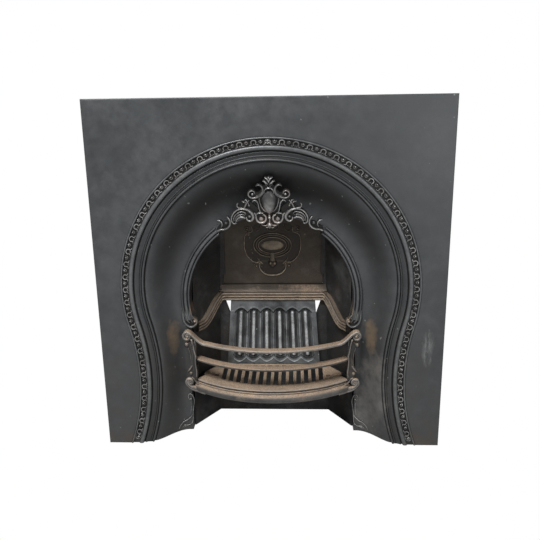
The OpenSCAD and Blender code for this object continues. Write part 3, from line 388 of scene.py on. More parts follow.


# %% [markdown]
# ### Wear and painted light
# A fireplace is blacked, burnt, knocked and brushed for a hundred years. Four things are laid over
# the skin: brown rust in blotches and on all upper sides, dirt and painted shade in the hollows,
# crests rubbed bright with a painted highlight, and scratches with small chips. Scratches are the
# thin bands where a stretched noise crosses 0.5.

# %% Wear: high places rubbed bright and highlit, hollows in painted shade, upper sides browned with rust, a few scratches
SOOT_AND_SHADE_BLACK = (0.012, 0.011, 0.010, 1)
OLD_RUST = (0.03, 0.025, 0.02, 1)
SCRATCHES_DOWN = ((1, 1, 14), (0.2, 0.9, 0.3))
SCRATCHES_ACROSS = ((16, 1, 1), (0.1, -0.6, 0.5))
SMEARS_DOWN = ((1, 1, 0.16), (0.1, 0.12, 0.2))


def wear_and_light_group():
    tree, given, result = new_group(
        "Wear, rust and painted light",
        [("Vector", "Vector", None), ("Colour", "Color", (0.1, 0.1, 0.1, 1)), ("Relief", "Float", 0.0),
         ("Patches", "Float", 0.5), ("Bright", "Color", (0.4, 0.4, 0.4, 1)), ("Rub and highlight", "Float", 0.5),
         ("Rust colour", "Color", (0.25, 0.16, 0.09, 1)), ("Rust", "Float", 0.2),
         ("Top rust", "Float", 0.0), ("Scratches", "Float", 0.2), ("Scuffed", "Float", 0.0),
         ("Dirt and shade", "Float", 0.8)],
        [("Colour", "Color", None), ("Bare and highlit", "Float", None), ("Rusted", "Float", None)],
    )
    place = given["Vector"]
    blotch = tree.noise(place, 16.0, 6.0, 0.66)
    speck = tree.noise(place, 120.0, 4.0, 0.7)
    rusted = add_rust(tree, given, blotch, speck)
    patchy = tree.spread(given["Patches"], 0.36, 0.6, 0.5, 1.0)
    uneven = tree.math("MULTIPLY", patchy, tree.spread(speck, 0.36, 0.56, 0.6, 1.0))
    # High places are rubbed bright, and the same lightening is a painted highlight on the crests.
    high = tree.spread(given["Relief"], 0.15, 1.0)
    rubbed_and_highlit = tree.math("MULTIPLY", tree.math("MULTIPLY", high, uneven), given["Rub and highlight"], clamp=True)
    bare_and_highlit = tree.math("MAXIMUM", rubbed_and_highlit, add_scratches(tree, given, blotch), clamp=True)
    granules = tree.spread(tree.noise(place, 300.0, 2.0, 0.6), 0.38, 0.62)
    brown = tree.mix(granules, given["Rust colour"], tree.mix(0.5, given["Rust colour"], OLD_RUST))
    # Low places are darkened with soot and dirt, and with painted shade in the hollows.
    hollow = tree.math("MULTIPLY", tree.spread(given["Relief"], 0.0, -0.8), given["Dirt and shade"])
    dirty_and_shaded = tree.mix(hollow, tree.mix(rusted, given["Colour"], brown), SOOT_AND_SHADE_BLACK)
    tree.tree.links.new(tree.mix(bare_and_highlit, dirty_and_shaded, given["Bright"]), result["Colour"])
    tree.tree.links.new(bare_and_highlit, result["Bare and highlit"])
    tree.tree.links.new(rusted, result["Rusted"])
    return tree.tree


def add_rust(tree, given, blotch, speck):
    """Blotches of rust anywhere, and a coat of it on all sides that face up."""
    facing = tree.add("ShaderNodeNewGeometry").outputs["Normal"]
    upward = tree.add("ShaderNodeSeparateXYZ", {0: facing}).outputs["Z"]
    top = tree.math("MULTIPLY", tree.spread(upward, 0.42, 0.88), given["Top rust"])
    cloud = tree.math("ADD", tree.math("MULTIPLY", blotch, 0.7), tree.math("MULTIPLY", speck, 0.3))
    spots = tree.math("MULTIPLY", tree.spread(cloud, 0.5, 0.64), given["Rust"])
    covered = tree.math("MULTIPLY", top, tree.spread(cloud, 0.3, 0.52, 0.55, 1.0))
    return tree.math("MAXIMUM", spots, covered, clamp=True)


def add_scratches(tree, given, blotch):
    """Thin lines here and there, small chips, and smears where the iron is scuffed."""
    place = given["Vector"]
    down = tree.noise(place, 30.0, 2.0, 0.5, SCRATCHES_DOWN)
    across = tree.noise(place, 26.0, 2.0, 0.5, SCRATCHES_ACROSS)
    thin_down = tree.spread(tree.math("ABSOLUTE", tree.math("SUBTRACT", down, 0.5)), 0.004, 0.0)
    thin_across = tree.spread(tree.math("ABSOLUTE", tree.math("SUBTRACT", across, 0.5)), 0.003, 0.0)
    rare = tree.math("MAXIMUM", tree.spread(blotch, 0.6, 0.7), given["Scuffed"])
    lines = tree.math("MULTIPLY", tree.math("MAXIMUM", thin_down, thin_across), rare)
    scratch = tree.math("MULTIPLY", lines, given["Scratches"])
    smears = tree.spread(tree.noise(place, 130.0, 6.0, 0.75, SMEARS_DOWN), 0.42, 0.66)
    flakes = tree.spread(tree.noise(place, 90.0, 1.0, 0.5), 0.76, 0.79)
    chips = tree.math("MULTIPLY", flakes, given["Scratches"])
    scuff = tree.math("MAXIMUM", tree.math("MULTIPLY", smears, given["Scuffed"]), chips)
    return tree.math("MAXIMUM", scratch, scuff)


SKIN = sand_cast_group()
WEAR_AND_LIGHT = wear_and_light_group()


# %% [markdown]
# ## Materials
# Each finish is the same two groups with its own colours and amounts. Stove black on iron is neither
# paint nor bare metal, so the shader is only partly metallic. A stain is a soft ragged patch of
# another colour at a place that can be given in millimetres, such as the heat marks beside the fret.
# One pale patch on the right leg's cove is painted light, not a stain.

# %% Iron finishes
GRAIN_HEIGHT = 1.2 * MM


def iron(name, colour, bright, rust_colour, mottle=0.3, grain=1.0, rub_and_highlight=0.5, rust=0.2, top_rust=0.0,
         scratches=0.2, dirt_and_shade=0.85, roughness=0.5, metal=0.35, bump=0.35, stains_and_painted_light=(), scuffs=()):
    """One finish. Each stain or patch of painted light: x, z, half width, half height, colour,
    strength, both sides.
    """
    material = bpy.data.materials.new(name)
    material.use_nodes = True
    material.node_tree.nodes.clear()
    tree = Tree(material.node_tree)
    place = tree.add("ShaderNodeTexCoord").outputs["Object"]
    relief = tree.add("ShaderNodeAttribute", attribute_name="relief").outputs["Fac"]
    skin = tree.add("ShaderNodeGroup", node_tree=SKIN)
    for socket, value in {"Colour": (*colour, 1), "Mottle": mottle, "Grain": grain}.items():
        skin.inputs[socket].default_value = value
    tree.tree.links.new(place, skin.inputs["Vector"])
    wear = tree.add("ShaderNodeGroup", node_tree=WEAR_AND_LIGHT)
    for socket, value in {
        "Bright": (*bright, 1), "Rub and highlight": rub_and_highlight, "Rust colour": (*rust_colour, 1), "Rust": rust,
        "Top rust": top_rust, "Scratches": scratches, "Dirt and shade": dirt_and_shade,
    }.items():
        wear.inputs[socket].default_value = value
    skin_colour = skin.outputs["Colour"]
    for x, z, half_x, half_z, patch_colour, strength, both_sides in stains_and_painted_light:
        mask = patch(tree, place, x, z, half_x, half_z, both_sides)
        skin_colour = tree.mix(tree.math("MULTIPLY", mask, strength), skin_colour, (*patch_colour, 1))
    for x, z, half_x, half_z in scuffs:
        scuffed = patch(tree, place, x, z, half_x, half_z, False)
        tree.tree.links.new(scuffed, wear.inputs["Scuffed"])
    for socket, value in {
        "Vector": place, "Colour": skin_colour, "Relief": relief, "Patches": skin.outputs["Patches"]
    }.items():
        tree.tree.links.new(value, wear.inputs[socket])
    uneven = tree.spread(skin.outputs["Patches"], 0.35, 0.65, roughness - 0.06, roughness + 0.08)
    matt = tree.math("ADD", uneven, tree.math("MULTIPLY", wear.outputs["Rusted"], 0.28))
    rough = tree.math("ADD", matt, tree.math("MULTIPLY", wear.outputs["Bare and highlit"], -0.14))
    bumps = tree.add(
        "ShaderNodeBump", {"Height": skin.outputs["Height"], "Strength": bump, "Distance": GRAIN_HEIGHT}
    )
    shader = tree.add("ShaderNodeBsdfPrincipled", {
        "Base Color": wear.outputs["Colour"], "Roughness": rough, "Metallic": metal,
        "Normal": bumps.outputs["Normal"],
    })
    tree.add("ShaderNodeOutputMaterial", {"Surface": shader.outputs[0]})
    return material


def patch(tree, place, x, z, half_x, half_z, both_sides):
    """A soft ragged mask round x, z (millimetres), on both sides of the middle plane if asked."""
    parts = tree.add("ShaderNodeSeparateXYZ", {0: place}).outputs
    from_middle = tree.math("ABSOLUTE", parts["X"]) if both_sides else parts["X"]
    across = tree.math("DIVIDE", tree.math("SUBTRACT", from_middle, x * MM), half_x * MM)
    upward = tree.math("DIVIDE", tree.math("SUBTRACT", parts["Z"], z * MM), half_z * MM)
    across_2 = tree.math("MULTIPLY", across, across)
    distance = tree.math("ADD", across_2, tree.math("MULTIPLY", upward, upward))
    edge = tree.spread(tree.noise(place, 22.0, 5.0, 0.65), 0.3, 0.7, -0.5, 0.9)
    return tree.spread(tree.math("ADD", distance, edge), 1.2, 0.0)


RUST = (0.20, 0.125, 0.07)
TAN = (0.60, 0.44, 0.31)
BLACKED = iron(
    "blacked cast iron", colour=(0.077, 0.082, 0.087), bright=(0.27, 0.28, 0.28), rust_colour=RUST,
    mottle=0.14, grain=0.45, rub_and_highlight=0.5, rust=0.05, scratches=0.75, roughness=0.43, bump=0.16,
    stains_and_painted_light=[
        (0, 90, 700, 380, (0.082, 0.080, 0.077), 0.9, True),
        # Painted light: a pale patch on the right leg's cove, where that side faces the light from the
        # left.
        (288, 130, 44, 150, (0.26, 0.25, 0.235), 0.8, False),
        (279, 308, 17, 58, (0.27, 0.2, 0.135), 0.85, True),
        (430, 10, 60, 34, (0.12, 0.09, 0.065), 0.5, True),
        (220, 350, 10, 13, (0.36, 0.26, 0.18), 1.0, True),
        (228, 385, 5, 22, (0.30, 0.22, 0.15), 0.8, True),
    ],
    scuffs=[(430, 295, 17, 52)],
)
# Its bright colour on the crests is rubbed wear and a painted highlight.
CREST_IRON = iron(
    "rubbed and highlit crest iron", colour=(0.055, 0.055, 0.055), bright=(0.56, 0.555, 0.545),
    rust_colour=(0.26, 0.17, 0.12), mottle=0.3, grain=0.5, rub_and_highlight=0.9, rust=0.3, scratches=0.1,
    roughness=0.36, bump=0.2, stains_and_painted_light=[(12, 640, 22, 26, (0.32, 0.215, 0.15), 0.6, True)],
)
SOOTED = iron(
    "sooted cast iron", colour=(0.038, 0.038, 0.038), bright=(0.09, 0.09, 0.09),
    rust_colour=(0.10, 0.07, 0.045), mottle=0.4, grain=0.8, rub_and_highlight=0.3, rust=0.35, scratches=0.1,
    roughness=0.62, bump=0.3,
)
WORN = iron(
    "worn fret iron", colour=(0.085, 0.083, 0.08), bright=(0.42, 0.39, 0.36), rust_colour=TAN,
    mottle=0.35, grain=0.9, rub_and_highlight=0.75, rust=0.3, top_rust=1.0, scratches=0.2, roughness=0.5, bump=0.4,
)
MOULDING = iron(
    "heat browned moulding", colour=(0.085, 0.068, 0.053), bright=(0.46, 0.37, 0.28), rust_colour=TAN,
    mottle=0.3, grain=0.8, rub_and_highlight=0.8, rust=0.45, top_rust=0.3, scratches=0.1, roughness=0.52, bump=0.3,
)
# Its bright colour is rubbed wear and a painted highlight, strong because the flap lies in the arch's
# shade.
FLAP_IRON = iron(
    "heated flap iron", colour=(0.070, 0.055, 0.041), bright=(0.62, 0.52, 0.39),
    rust_colour=(0.13, 0.095, 0.06), mottle=0.35, grain=0.7, rub_and_highlight=0.8, rust=0.3, top_rust=0.4,
    scratches=0.2, roughness=0.5, bump=0.25,
)
BURNT = iron(
    "burnt fireback iron", colour=(0.15, 0.16, 0.168), bright=(0.68, 0.70, 0.71),
    rust_colour=(0.12, 0.10, 0.08), mottle=0.7, grain=1.3, rub_and_highlight=1.0, rust=0.15, scratches=0.6,
    roughness=0.5, bump=0.6,
)
RUSTED = iron(
    "rusted grate iron", colour=(0.13, 0.10, 0.075), bright=(0.36, 0.28, 0.2), rust_colour=TAN,
    mottle=0.4, grain=1.2, rub_and_highlight=0.5, rust=0.8, top_rust=0.9, scratches=0.1, roughness=0.66,
    metal=0.15, bump=0.6,
)
STEEL = iron(
    "dull black steel", colour=(0.06, 0.058, 0.055), bright=(0.2, 0.19, 0.18), rust_colour=RUST,
    mottle=0.3, grain=0.7, rub_and_highlight=0.4, rust=0.4, roughness=0.5, bump=0.25,
)
print("finishes:", [material.name for material in bpy.data.materials])

# %% [markdown]
# ## The front casting
# The plate, the horseshoe moulding, the cove and the reeded inner arch are one casting. It could be
# lofted from curves, but the cove's width changes all the way, and the horseshoe and the inner arch
# have different centres. So it is one sweep written as a formula: a cross-section that runs from the
# plate's edge to the inner arch follows the horseshoe from one foot to the other.

# %% Sizes of the front casting
PLATE_W, PLATE_H, PLATE_T = 945, 965, 6
EDGE_D, EDGE_T = 20, 6
ARCH_Z, BAND_R = 461, 392
WAIST_HALF, WAIST_Z = 358.5, 205
WAIST_DROP = ARCH_Z - WAIST_Z
REVERSE_R = (WAIST_HALF ** 2 + WAIST_DROP ** 2 - BAND_R ** 2) / (2 * (BAND_R - WAIST_HALF))
REVERSE_X = WAIST_HALF + REVERSE_R
SPRING_A = math.atan2(-WAIST_DROP, REVERSE_X)
RING_Z, RING_R, RING_W = 415, 257, 26
CREST_RING_IN = RING_R - RING_W + 7
RING_FOOT_Z = RING_Z + RING_R * math.sin(SPRING_A)
LEG_X, RETURN_T = 240, 8
COVE_D, COVE_START, COVE_WALL = 80, 13, 7
RING_FRONT = COVE_D - 5
JOINT_D = 108
REED_END = math.radians(53)
MOULDING_IN = 49
CREST_T0 = 1 + (REED_END - SPRING_A) / (math.pi - 2 * SPRING_A)
print(f"horseshoe: arch of {BAND_R} mm, reverse curve of {REVERSE_R:.0f} mm, springs at "
      f"{math.degrees(SPRING_A):.1f} degrees")


def arch_angle(t):
    return SPRING_A + (t - 1) * (math.pi - 2 * SPRING_A)


def band_at(t, d):
    """Where the horseshoe passes at share t of its way (leg 0-1, arch 1-2, leg 2-3), d further out."""
    if t > 2:
        x, z = band_at(3 - t, d)
        return -x, z
    if t < 1:
        z = t * (ARCH_Z + (BAND_R + d) * math.sin(SPRING_A))
        return REVERSE_X - math.sqrt((REVERSE_R - d) ** 2 - (z - WAIST_Z) ** 2), z
    a = arch_angle(t)
    return (BAND_R + d) * math.cos(a), ARCH_Z + (BAND_R + d) * math.sin(a)


def edge_at(t, inset):
    """The plate's edge, seen from the centre of the arch."""
    if t > 2:
        x, z = edge_at(3 - t, inset)
        return -x, z
    half, top = PLATE_W / 2 - inset, PLATE_H - inset
    if t < 1:
        return half, t * (ARCH_Z + half * math.tan(SPRING_A))
    a = arch_angle(t)
    reach = half / max(abs(math.cos(a)), 1e-6)
    if math.sin(a) > 0:
        reach = min(reach, (top - ARCH_Z) / math.sin(a))
    return reach * math.cos(a), ARCH_Z + reach * math.sin(a)


def reeded(t):
    return 1 <= t <= CREST_T0 or 3 - CREST_T0 <= t <= 2


def inner_at(t, e):
    """The inner arch and the legs' edges, from the inner side (e = 0) to the outer (e = 1)."""
    if t > 2:
        x, z = inner_at(3 - t, e)
        return -x, z
    if t < 1:
        return LEG_X + RETURN_T * e, t * RING_FOOT_Z
    inner = RING_R - RING_W if reeded(t) else CREST_RING_IN
    r = inner + (RING_R - inner) * e
    a = arch_angle(t)
    return r * math.cos(a), RING_Z + r * math.sin(a)


def cove_depth(s):
    return COVE_START + (COVE_D - COVE_START) * (1 - math.cos(math.pi * s ** 0.8)) / 2


def cove_soot_and_shade(t, s):
    """Darkens the cove's middle: soot and painted shade under the arch's crown, a little at the legs'
    feet.
    """
    crown = max(0.0, math.sin(arch_angle(t))) if 1 <= t <= 2 else 0.0
    foot = max(0.0, 1 - min(t, 3 - t))
    return -(0.85 * crown ** 0.6 + 0.25 * foot + 0.05) * math.exp(-((s - 0.42) / 0.34) ** 2)


ARCH_REEDS = [(0.86, 0.12, 3.8), (0.5, 0.2, 5.8), (0.14, 0.125, 4.4)]
REED_TOP = 5.8


def reed_height(e):
    """Three reeds across the inner arch, each with its middle, half width and height."""
    heights = [h * math.sqrt(1 - ((e - c) / w) ** 2) for c, w, h in ARCH_REEDS if abs(e - c) < w]
    return max([0.2] + heights)


# %% [markdown]
# ### The moulding's profile
# From the plate inwards: a small bead, the channel for the running ornament, a large bead, a groove,
# a hollow with two fine lines, and a last bead before the cove. A profile of points and arcs, as a
# moulding plane would cut it, needs far fewer faces than a carved or displaced surface.

# %% Profile of the moulding: (distance out, depth, relief)
def bead(middle, half, depth, high, start=0, end=180, steps=9, shine=1.0):
    """A rounded strip from angle start to angle end; its crest rubbed and highlit, its edges in painted
    shade.
    """
    turns = np.radians(np.linspace(start, end, steps))
    reliefs = (0.4 + shine) * np.sin(turns) - 0.4
    return [
        (middle + half * math.cos(a), depth - high * math.sin(a), relief)
        for a, relief in zip(turns, reliefs)
    ]


def moulding_profile():
    # Negative relief darkens the channel, the groove and the fine lines with dirt and painted shade.
    channel = [(8.1, 1.4, -1), (7.4, 3.0, -1), (-7.2, 3.0, -1), (-7.9, 1.6, -0.6)]
    groove = [(-20.4, 3.8, -0.8), (-21.4, 5.8, -1), (-23.2, 5.8, -1), (-24.1, 2.8, 0.5)]
    hollow = [
        (-24.7 - 16.7 * s, 2.4 + 5.2 * s + 1.8 * math.sin(math.pi * s), -0.1 - 0.7 * s)
        for s in np.linspace(0, 1, 11)
    ]
    lines = [(-34.6, 6.3, 0.1), (-35.3, 7.8, -1), (-36.1, 7.0, 0.1), (-39.2, 7.4, 0.1),
             (-39.8, 8.6, -0.9)]
    hollow = sorted(hollow + lines, key=lambda q: -q[0])
    return (
        [(19, 0, 0), (15.5, 0, 0), (14.0, 0.3, -0.3)]
        + bead(11.0, 2.6, 0.6, 3.4)
        + channel
        + bead(-14.0, 6.0, 1.6, 4.6, 12, 165, 13)
        + groove
        + hollow
        + [(-41.8, 9.4, -1)]
        + bead(-45.0, 2.9, 8.2, 3.0, 8, 172, shine=0.15)
        + [(-48.2, 12.4, -1), (-49.0, COVE_START + 0.9, -0.9)]
    )


# %% [markdown]
# ### The sweep
# Each section starts at the plate's edge, crosses the plate, the moulding and the cove, and comes
# back behind them with the wall's thickness, so that the casting is closed. The stations lie closer
# on the arch than on the legs, and one lies in the plate's corner.

# %% The front casting's sweep
def front_section(t, moulding):
    outer = np.array(band_at(t, -MOULDING_IN))
    inner = np.array(inner_at(t, 1))
    has_reeds = reeded(t)
    front = COVE_D if t < 1 or t > 2 else RING_FRONT
    points, relief = [], []

    def put(place, depth, high=0.0):
        points.append((place[0], depth, place[1]))
        relief.append(high)

    for inset, depth in [(EDGE_T, EDGE_D), (0, EDGE_D), (0, 1.5), (0.5, 0.45), (1.5, 0), (5, 0)]:
        put(edge_at(t, inset), depth, 0.5 if depth == 0.45 else 0)
    for d, depth, high in moulding:
        put(band_at(t, d), depth, high)
    for s in np.linspace(0.03, 1, 30):
        put(outer + (inner - outer) * s, cove_depth(s), cove_soot_and_shade(t, s))
    for e in np.linspace(1, 0, 37):
        high = reed_height(e) if has_reeds else 0.0
        # The reeds' crests are lightened as wear and painted highlight, the gaps between them in
        # painted shade.
        put(inner_at(t, e), front - high, 1.6 * (high / REED_TOP) - 0.9 if has_reeds else 0.0)
    put(inner_at(t, 0), JOINT_D - 0.5)
    wall_e = 1 if t < 1 or t > 2 else RETURN_T / RING_W
    put(inner_at(t, wall_e), JOINT_D - 0.5)
    put(inner_at(t, wall_e), COVE_D + COVE_WALL + 1)
    for s in np.linspace(1, 0.05, 10):
        put(outer + (inner - outer) * s, cove_depth(s) + COVE_WALL)
    for d, depth in [(-30, 13), (-8, 9.5), (8, 8), (14, PLATE_T)]:
        put(band_at(t, d), depth)
    put(edge_at(t, EDGE_T), PLATE_T)
    return points, relief


def plate_stations():
    corner = 1 + (math.atan2(PLATE_H - ARCH_Z, PLATE_W / 2) - SPRING_A) / (math.pi - 2 * SPRING_A)
    half = list(np.linspace(0, 0.985, 26)) + list(np.linspace(1, CREST_T0, 40))
    half += list(np.linspace(CREST_T0 + 0.003, 1.5, 26)) + [corner]
    half = sorted(half)
    return half + [3 - t for t in half[-2::-1]]


FLANGE_W, BOX_H, BOX_CORNER_R = 28, 660, 44


def joint_outline(grow, a):
    """The firebox's joint seen from the centre of the inner arch, grown by its flange."""
    half, top, r = LEG_X + grow, BOX_H + grow, BOX_CORNER_R + grow
    x, z = math.cos(a), math.sin(a)
    reach = half / max(abs(x), 1e-6)
    if z > 0:
        reach = min(reach, (top - RING_Z) / z)
    corner = np.array([half - r, top - r - RING_Z])
    direction = np.array([abs(x), z])
    hit = direction @ corner
    inside = hit ** 2 - corner @ corner + r * r
    if inside > 0:
        touch = direction * (hit + math.sqrt(inside))
        if touch[0] > corner[0] and touch[1] > corner[1]:
            reach = min(reach, hit + math.sqrt(inside))
    return reach * x, RING_Z + reach * z


def front_casting():
    shape = Shape()
    moulding = moulding_profile()
    rings, relief = [], []
    for t in plate_stations():
        points, high = front_section(t, moulding)
        rings.append(points)
        relief.extend(high)
    add_tube(shape, rings, relief)
    add_bolt_flange(shape)
    add_lugs(shape)
    return shape


def add_bolt_flange(shape):
    """The flat flange behind the arch that the firebox is bolted to."""
    angles = np.linspace(SPRING_A, math.pi - SPRING_A, 73)
    r = CREST_RING_IN + 4
    inner = [(r * math.cos(a), RING_Z + r * math.sin(a)) for a in angles]
    outer = [joint_outline(FLANGE_W, a) for a in angles]
    foot = LEG_X + 4
    inner = [(foot, 0)] + inner + [(-foot, 0)]
    outer = [(LEG_X + FLANGE_W, 0)] + outer + [(-LEG_X - FLANGE_W, 0)]
    ring_plate(shape, inner, outer, JOINT_D - 6, JOINT_D)


LUG_X, LUG_Y, LUG_R, LUG_HOLE_R, LUG_ZS = 442.5, 30, 14, 4.5, (250, 750)


def lug_rim(z, a):
    """A lug's outline: half a circle behind its hole, and straight to the plate in front."""
    c, s = math.cos(a), math.sin(a)
    if c > 0:
        return LUG_Y + LUG_R * c, z + LUG_R * s
    return max(PLATE_T - 1, LUG_Y + 40 * c), z + math.copysign(min(LUG_R, 40 * abs(s)), s)


def add_lugs(shape):
    """Four lugs behind the plate, each with a hole for a wall screw."""
    turns = np.linspace(0, 2 * math.pi, 33)
    for side in (-1, 1):
        for z in LUG_ZS:
            hole = [(LUG_Y + LUG_HOLE_R * math.cos(a), z + LUG_HOLE_R * math.sin(a)) for a in turns]
            rim = [lug_rim(z, a) for a in turns]
            ring_plate(
                shape, hole, rim, LUG_X, LUG_X + EDGE_T, lambda u, v, x, side=side: (side * x, u, v)
            )


front_shape = front_casting()

# %% [markdown]
# ## Ornament of the front casting
# The inner arch's outer reed sweeps round its foot like a J and ends in a knob, with the other reeds
# dying into it. A stem that curls at its top stands at each foot of the cove, with two leaves at the
# floor. Both are ridges: the hook lies on a flat depth, and the stem on the hollow of the cove.

# %% Hooks and foot scrolls
def on_leg(u, v, up):
    """The cove's surface beside a leg, u from the middle of the fireplace."""
    t = v / RING_FOOT_Z
    outer = band_at(min(t, 0.99), -MOULDING_IN)[0]
    inner = LEG_X + RETURN_T
    s = min(1.0, max(0.02, (outer - u) / (outer - inner)))
    return u, cove_depth(s) - up, v


def arch_hook():
    """The outer reed sweeps round the foot of the arch like a J and ends in a knob."""
    shape = Shape()
    level = at_depth(RING_FRONT)
    sweep = smooth([(252.6, 386), (253.2, 364), (251.5, 350), (246, 339), (237, 331.5), (227.5, 330.5),
                    (219.5, 335.5), (214.5, 343), (214.5, 350), (218.5, 354.5)])
    ridge(shape, sweep, [5, 7, 7.4, 8, 7.6, 6.4, 5], [1, 4.6, 5.6, 6.4, 6.4, 5.6, 4], level, 13)
    ridge(
        shape, smooth([(243.4, 386), (243.4, 366), (240.5, 350), (235, 342)]),
        [7, 10, 8.4, 4], [1, 5.6, 4.4, 2], level, 13,
    )
    ridge(
        shape, smooth([(234.4, 384), (233.8, 366), (231, 352), (227, 343.5)]),
        [4, 6, 5, 3], [1, 4.2, 3.4, 2], level, 13,
    )
    ridge(
        shape, smooth([(229, 366), (224.6, 361), (220.6, 355), (219, 350)]),
        [3, 4, 4.4, 3.4], [4, 5.6, 6.4, 6], level, 13,
    )
    ball(shape, 219.4, 347.6, 5.2, level, 8.6, 13)
    web = [(232, 376), (247, 376), (248, 352), (238, 337), (226, 336), (222, 350)]
    slab(shape, smooth(web + web[:1])[:-1], RING_FRONT + 1, COVE_D + 12, -1)
    return shape.mirrored()


def foot_scroll():
    """A long stem that curls at its top and ends in two leaves at the floor."""
    shape = Shape()
    stem = [(243.5, 20), (240.5, 32), (239, 49), (238, 66), (235.5, 82), (234, 94), (235.5, 106),
            (240, 115.5), (246, 117), (250.5, 111), (250, 103), (245.5, 98.5)]
    ridge(shape, smooth(stem), [2.4, 3, 3, 2.8, 2.8, 3, 2.6], [1.6, 2.6, 2.6, 2.4, 2.6, 2.8, 2], on_leg)
    ball(shape, 243.6, 101.5, 2.7, on_leg, 3)
    ridge(
        shape, smooth([(245, 91), (243.5, 82), (244.6, 66), (247, 52)]),
        [1.6, 2.4, 2], [1.2, 2, 1.4], on_leg,
    )
    ridge(
        shape, smooth([(239.5, 53), (244, 45), (251, 38), (258, 32.5), (266, 29), (273.5, 23),
                       (278.5, 16), (280, 9)]),
        [2, 4.4, 6, 4.4, 3, 2], [1.4, 3.4, 4.2, 3, 2.2, 1.4], on_leg,
    )
    ridge(
        shape, smooth([(239.5, 31), (244, 22.5), (250, 17), (256, 15.5), (262, 16.5), (268, 14),
                       (272, 8.5)]),
        [2, 3, 3.6, 3.4, 2], [1.4, 2.4, 3, 2.6, 1.4], on_leg,
    )
    ridge(shape, smooth([(258, 12), (263.5, 12), (267, 8)]), [2, 3, 1.6], [1.2, 2, 1], on_leg)
    ball(shape, 265.5, 36, 2, on_leg, 1.6)
    return shape.mirrored()


# %% [markdown]
# ## The running ornament in the horseshoe's channel
# The real one is a row of loops with flared legs and a bud between them, all alike.
# An array with a curve modifier would stretch the loops where the horseshoe bends. Instead one loop
# is modelled, and Geometry Nodes set it on points along the channel's middle line, each loop turned
# to the line and none of them bent.

# %% One loop of the ornament, and the line it follows
def loop_motif():
    """Drawn flat: u along the channel, v outwards, the third number towards the room."""
    shape = Shape()

    def flat(u, v, up):
        return u, v, up

    loop = [(-11.5, -6.2), (-8.2, -5.8), (-5.6, -3.6), (-6.6, 0.4), (-5.0, 4.6), (0, 6.4),
            (5.0, 4.6), (6.6, 0.4), (5.6, -3.6), (8.2, -5.8), (11.5, -6.2)]
    ridge(
        shape, smooth(loop, 3), [2.6, 3.8, 4.2, 4.4, 4.2, 3.8, 2.6],
        [2.4, 4.4, 5.2, 5.4, 5.2, 4.4, 2.4], flat, 0.6, 5,
    )
    ridge(
        shape, smooth([(-3.0, -6.8), (0, -3.6), (3.0, -6.8)], 3),
        [2, 3, 2], [2, 3.6, 2], flat, 0.6, 4,
    )
    ball(shape, 18, 3.4, 3.0, flat, 4.6, 0.6, 8)
    ridge(
        shape, smooth([(13.4, 5.6), (14.6, 0.6), (18, -2.2), (21.4, 0.6), (22.6, 5.6)], 3),
        [1.6, 2.6, 3.2, 2.6, 1.6], [1.8, 3.4, 4, 3.4, 1.8], flat, 0.6, 4,
    )
    return shape


def object_from(shape, name):
    mesh = bpy.data.meshes.new(name)
    mesh.from_pydata([tuple(c * MM for c in p) for p in shape.points], [], shape.faces)
    mesh.attributes.new("relief", "FLOAT", "POINT").data.foreach_set("value", shape.relief)
    work = bmesh.new()
    work.from_mesh(mesh)
    bmesh.ops.recalc_face_normals(work, faces=work.faces)
    work.to_mesh(mesh)
    work.free()
    mesh.shade_smooth()
    piece = bpy.data.objects.new(name, mesh)
    bpy.context.scene.collection.objects.link(piece)
    return piece


ORNAMENT_FROM, CHANNEL_D = 0.10, 3.0


def channel_line():
    """The channel's middle line, from just above the left foot to just above the right."""
    leg = np.linspace(ORNAMENT_FROM, 1, 60, False)
    ts = np.concatenate([leg, np.linspace(1, 2, 180, False), np.linspace(2, 3 - ORNAMENT_FROM, 61)])
    points = [band_at(t, 0) for t in ts[::-1]]
    return [(x * MM, (CHANNEL_D + FACE_Y) * MM, z * MM) for x, z in points]


# %% [markdown]
# ### The node tree
# Mesh to Curve turns the line into a curve, Curve to Points spreads the loops evenly over it, and two
# rotations turn each loop: its X along the line, then its Z to the room. Realize Instances makes them
# real meshes, and Set Material dresses them.

# %% Geometry Nodes: the motif along the line
def along_line_tree(name):
    tree = bpy.data.node_groups.new(name, "GeometryNodeTree")
    sockets = {}
    for socket_name, kind, default in [
        ("Line", "NodeSocketGeometry", None), ("Motif", "NodeSocketObject", None),
        ("Count", "NodeSocketInt", 60), ("Finish", "NodeSocketMaterial", None),
    ]:
        socket = tree.interface.new_socket(name=socket_name, in_out="INPUT", socket_type=kind)
        if default is not None:
            socket.default_value = default
        sockets[socket_name] = socket.identifier
    tree.interface.new_socket(name="Ornament", in_out="OUTPUT", socket_type="NodeSocketGeometry")
    nodes = Tree(tree)
    given = nodes.add("NodeGroupInput").outputs
    line = nodes.add("GeometryNodeMeshToCurve", {"Mesh": given["Line"]})
    points = nodes.add(
        "GeometryNodeCurveToPoints", {"Curve": line.outputs[0], "Count": given["Count"]}, mode="COUNT"
    )
    outward = nodes.add(
        "FunctionNodeAlignRotationToVector", {"Vector": points.outputs["Tangent"]}, axis="X"
    )
    facing = nodes.add(
        "FunctionNodeAlignRotationToVector", {"Rotation": outward.outputs[0], "Vector": (0, -1, 0)},
        axis="Z", pivot_axis="X",
    )
    motif = nodes.add("GeometryNodeObjectInfo", {"Object": given["Motif"]})
    placed = nodes.add("GeometryNodeInstanceOnPoints", {
        "Points": points.outputs["Points"], "Instance": motif.outputs["Geometry"],
        "Rotation": facing.outputs[0],
    })
    real = nodes.add("GeometryNodeRealizeInstances", {0: placed.outputs[0]})
    dressed = nodes.add(
        "GeometryNodeSetMaterial", {"Geometry": real.outputs[0], "Material": given["Finish"]}
    )
    nodes.add("NodeGroupOutput", {0: dressed.outputs[0]})
    return tree, sockets


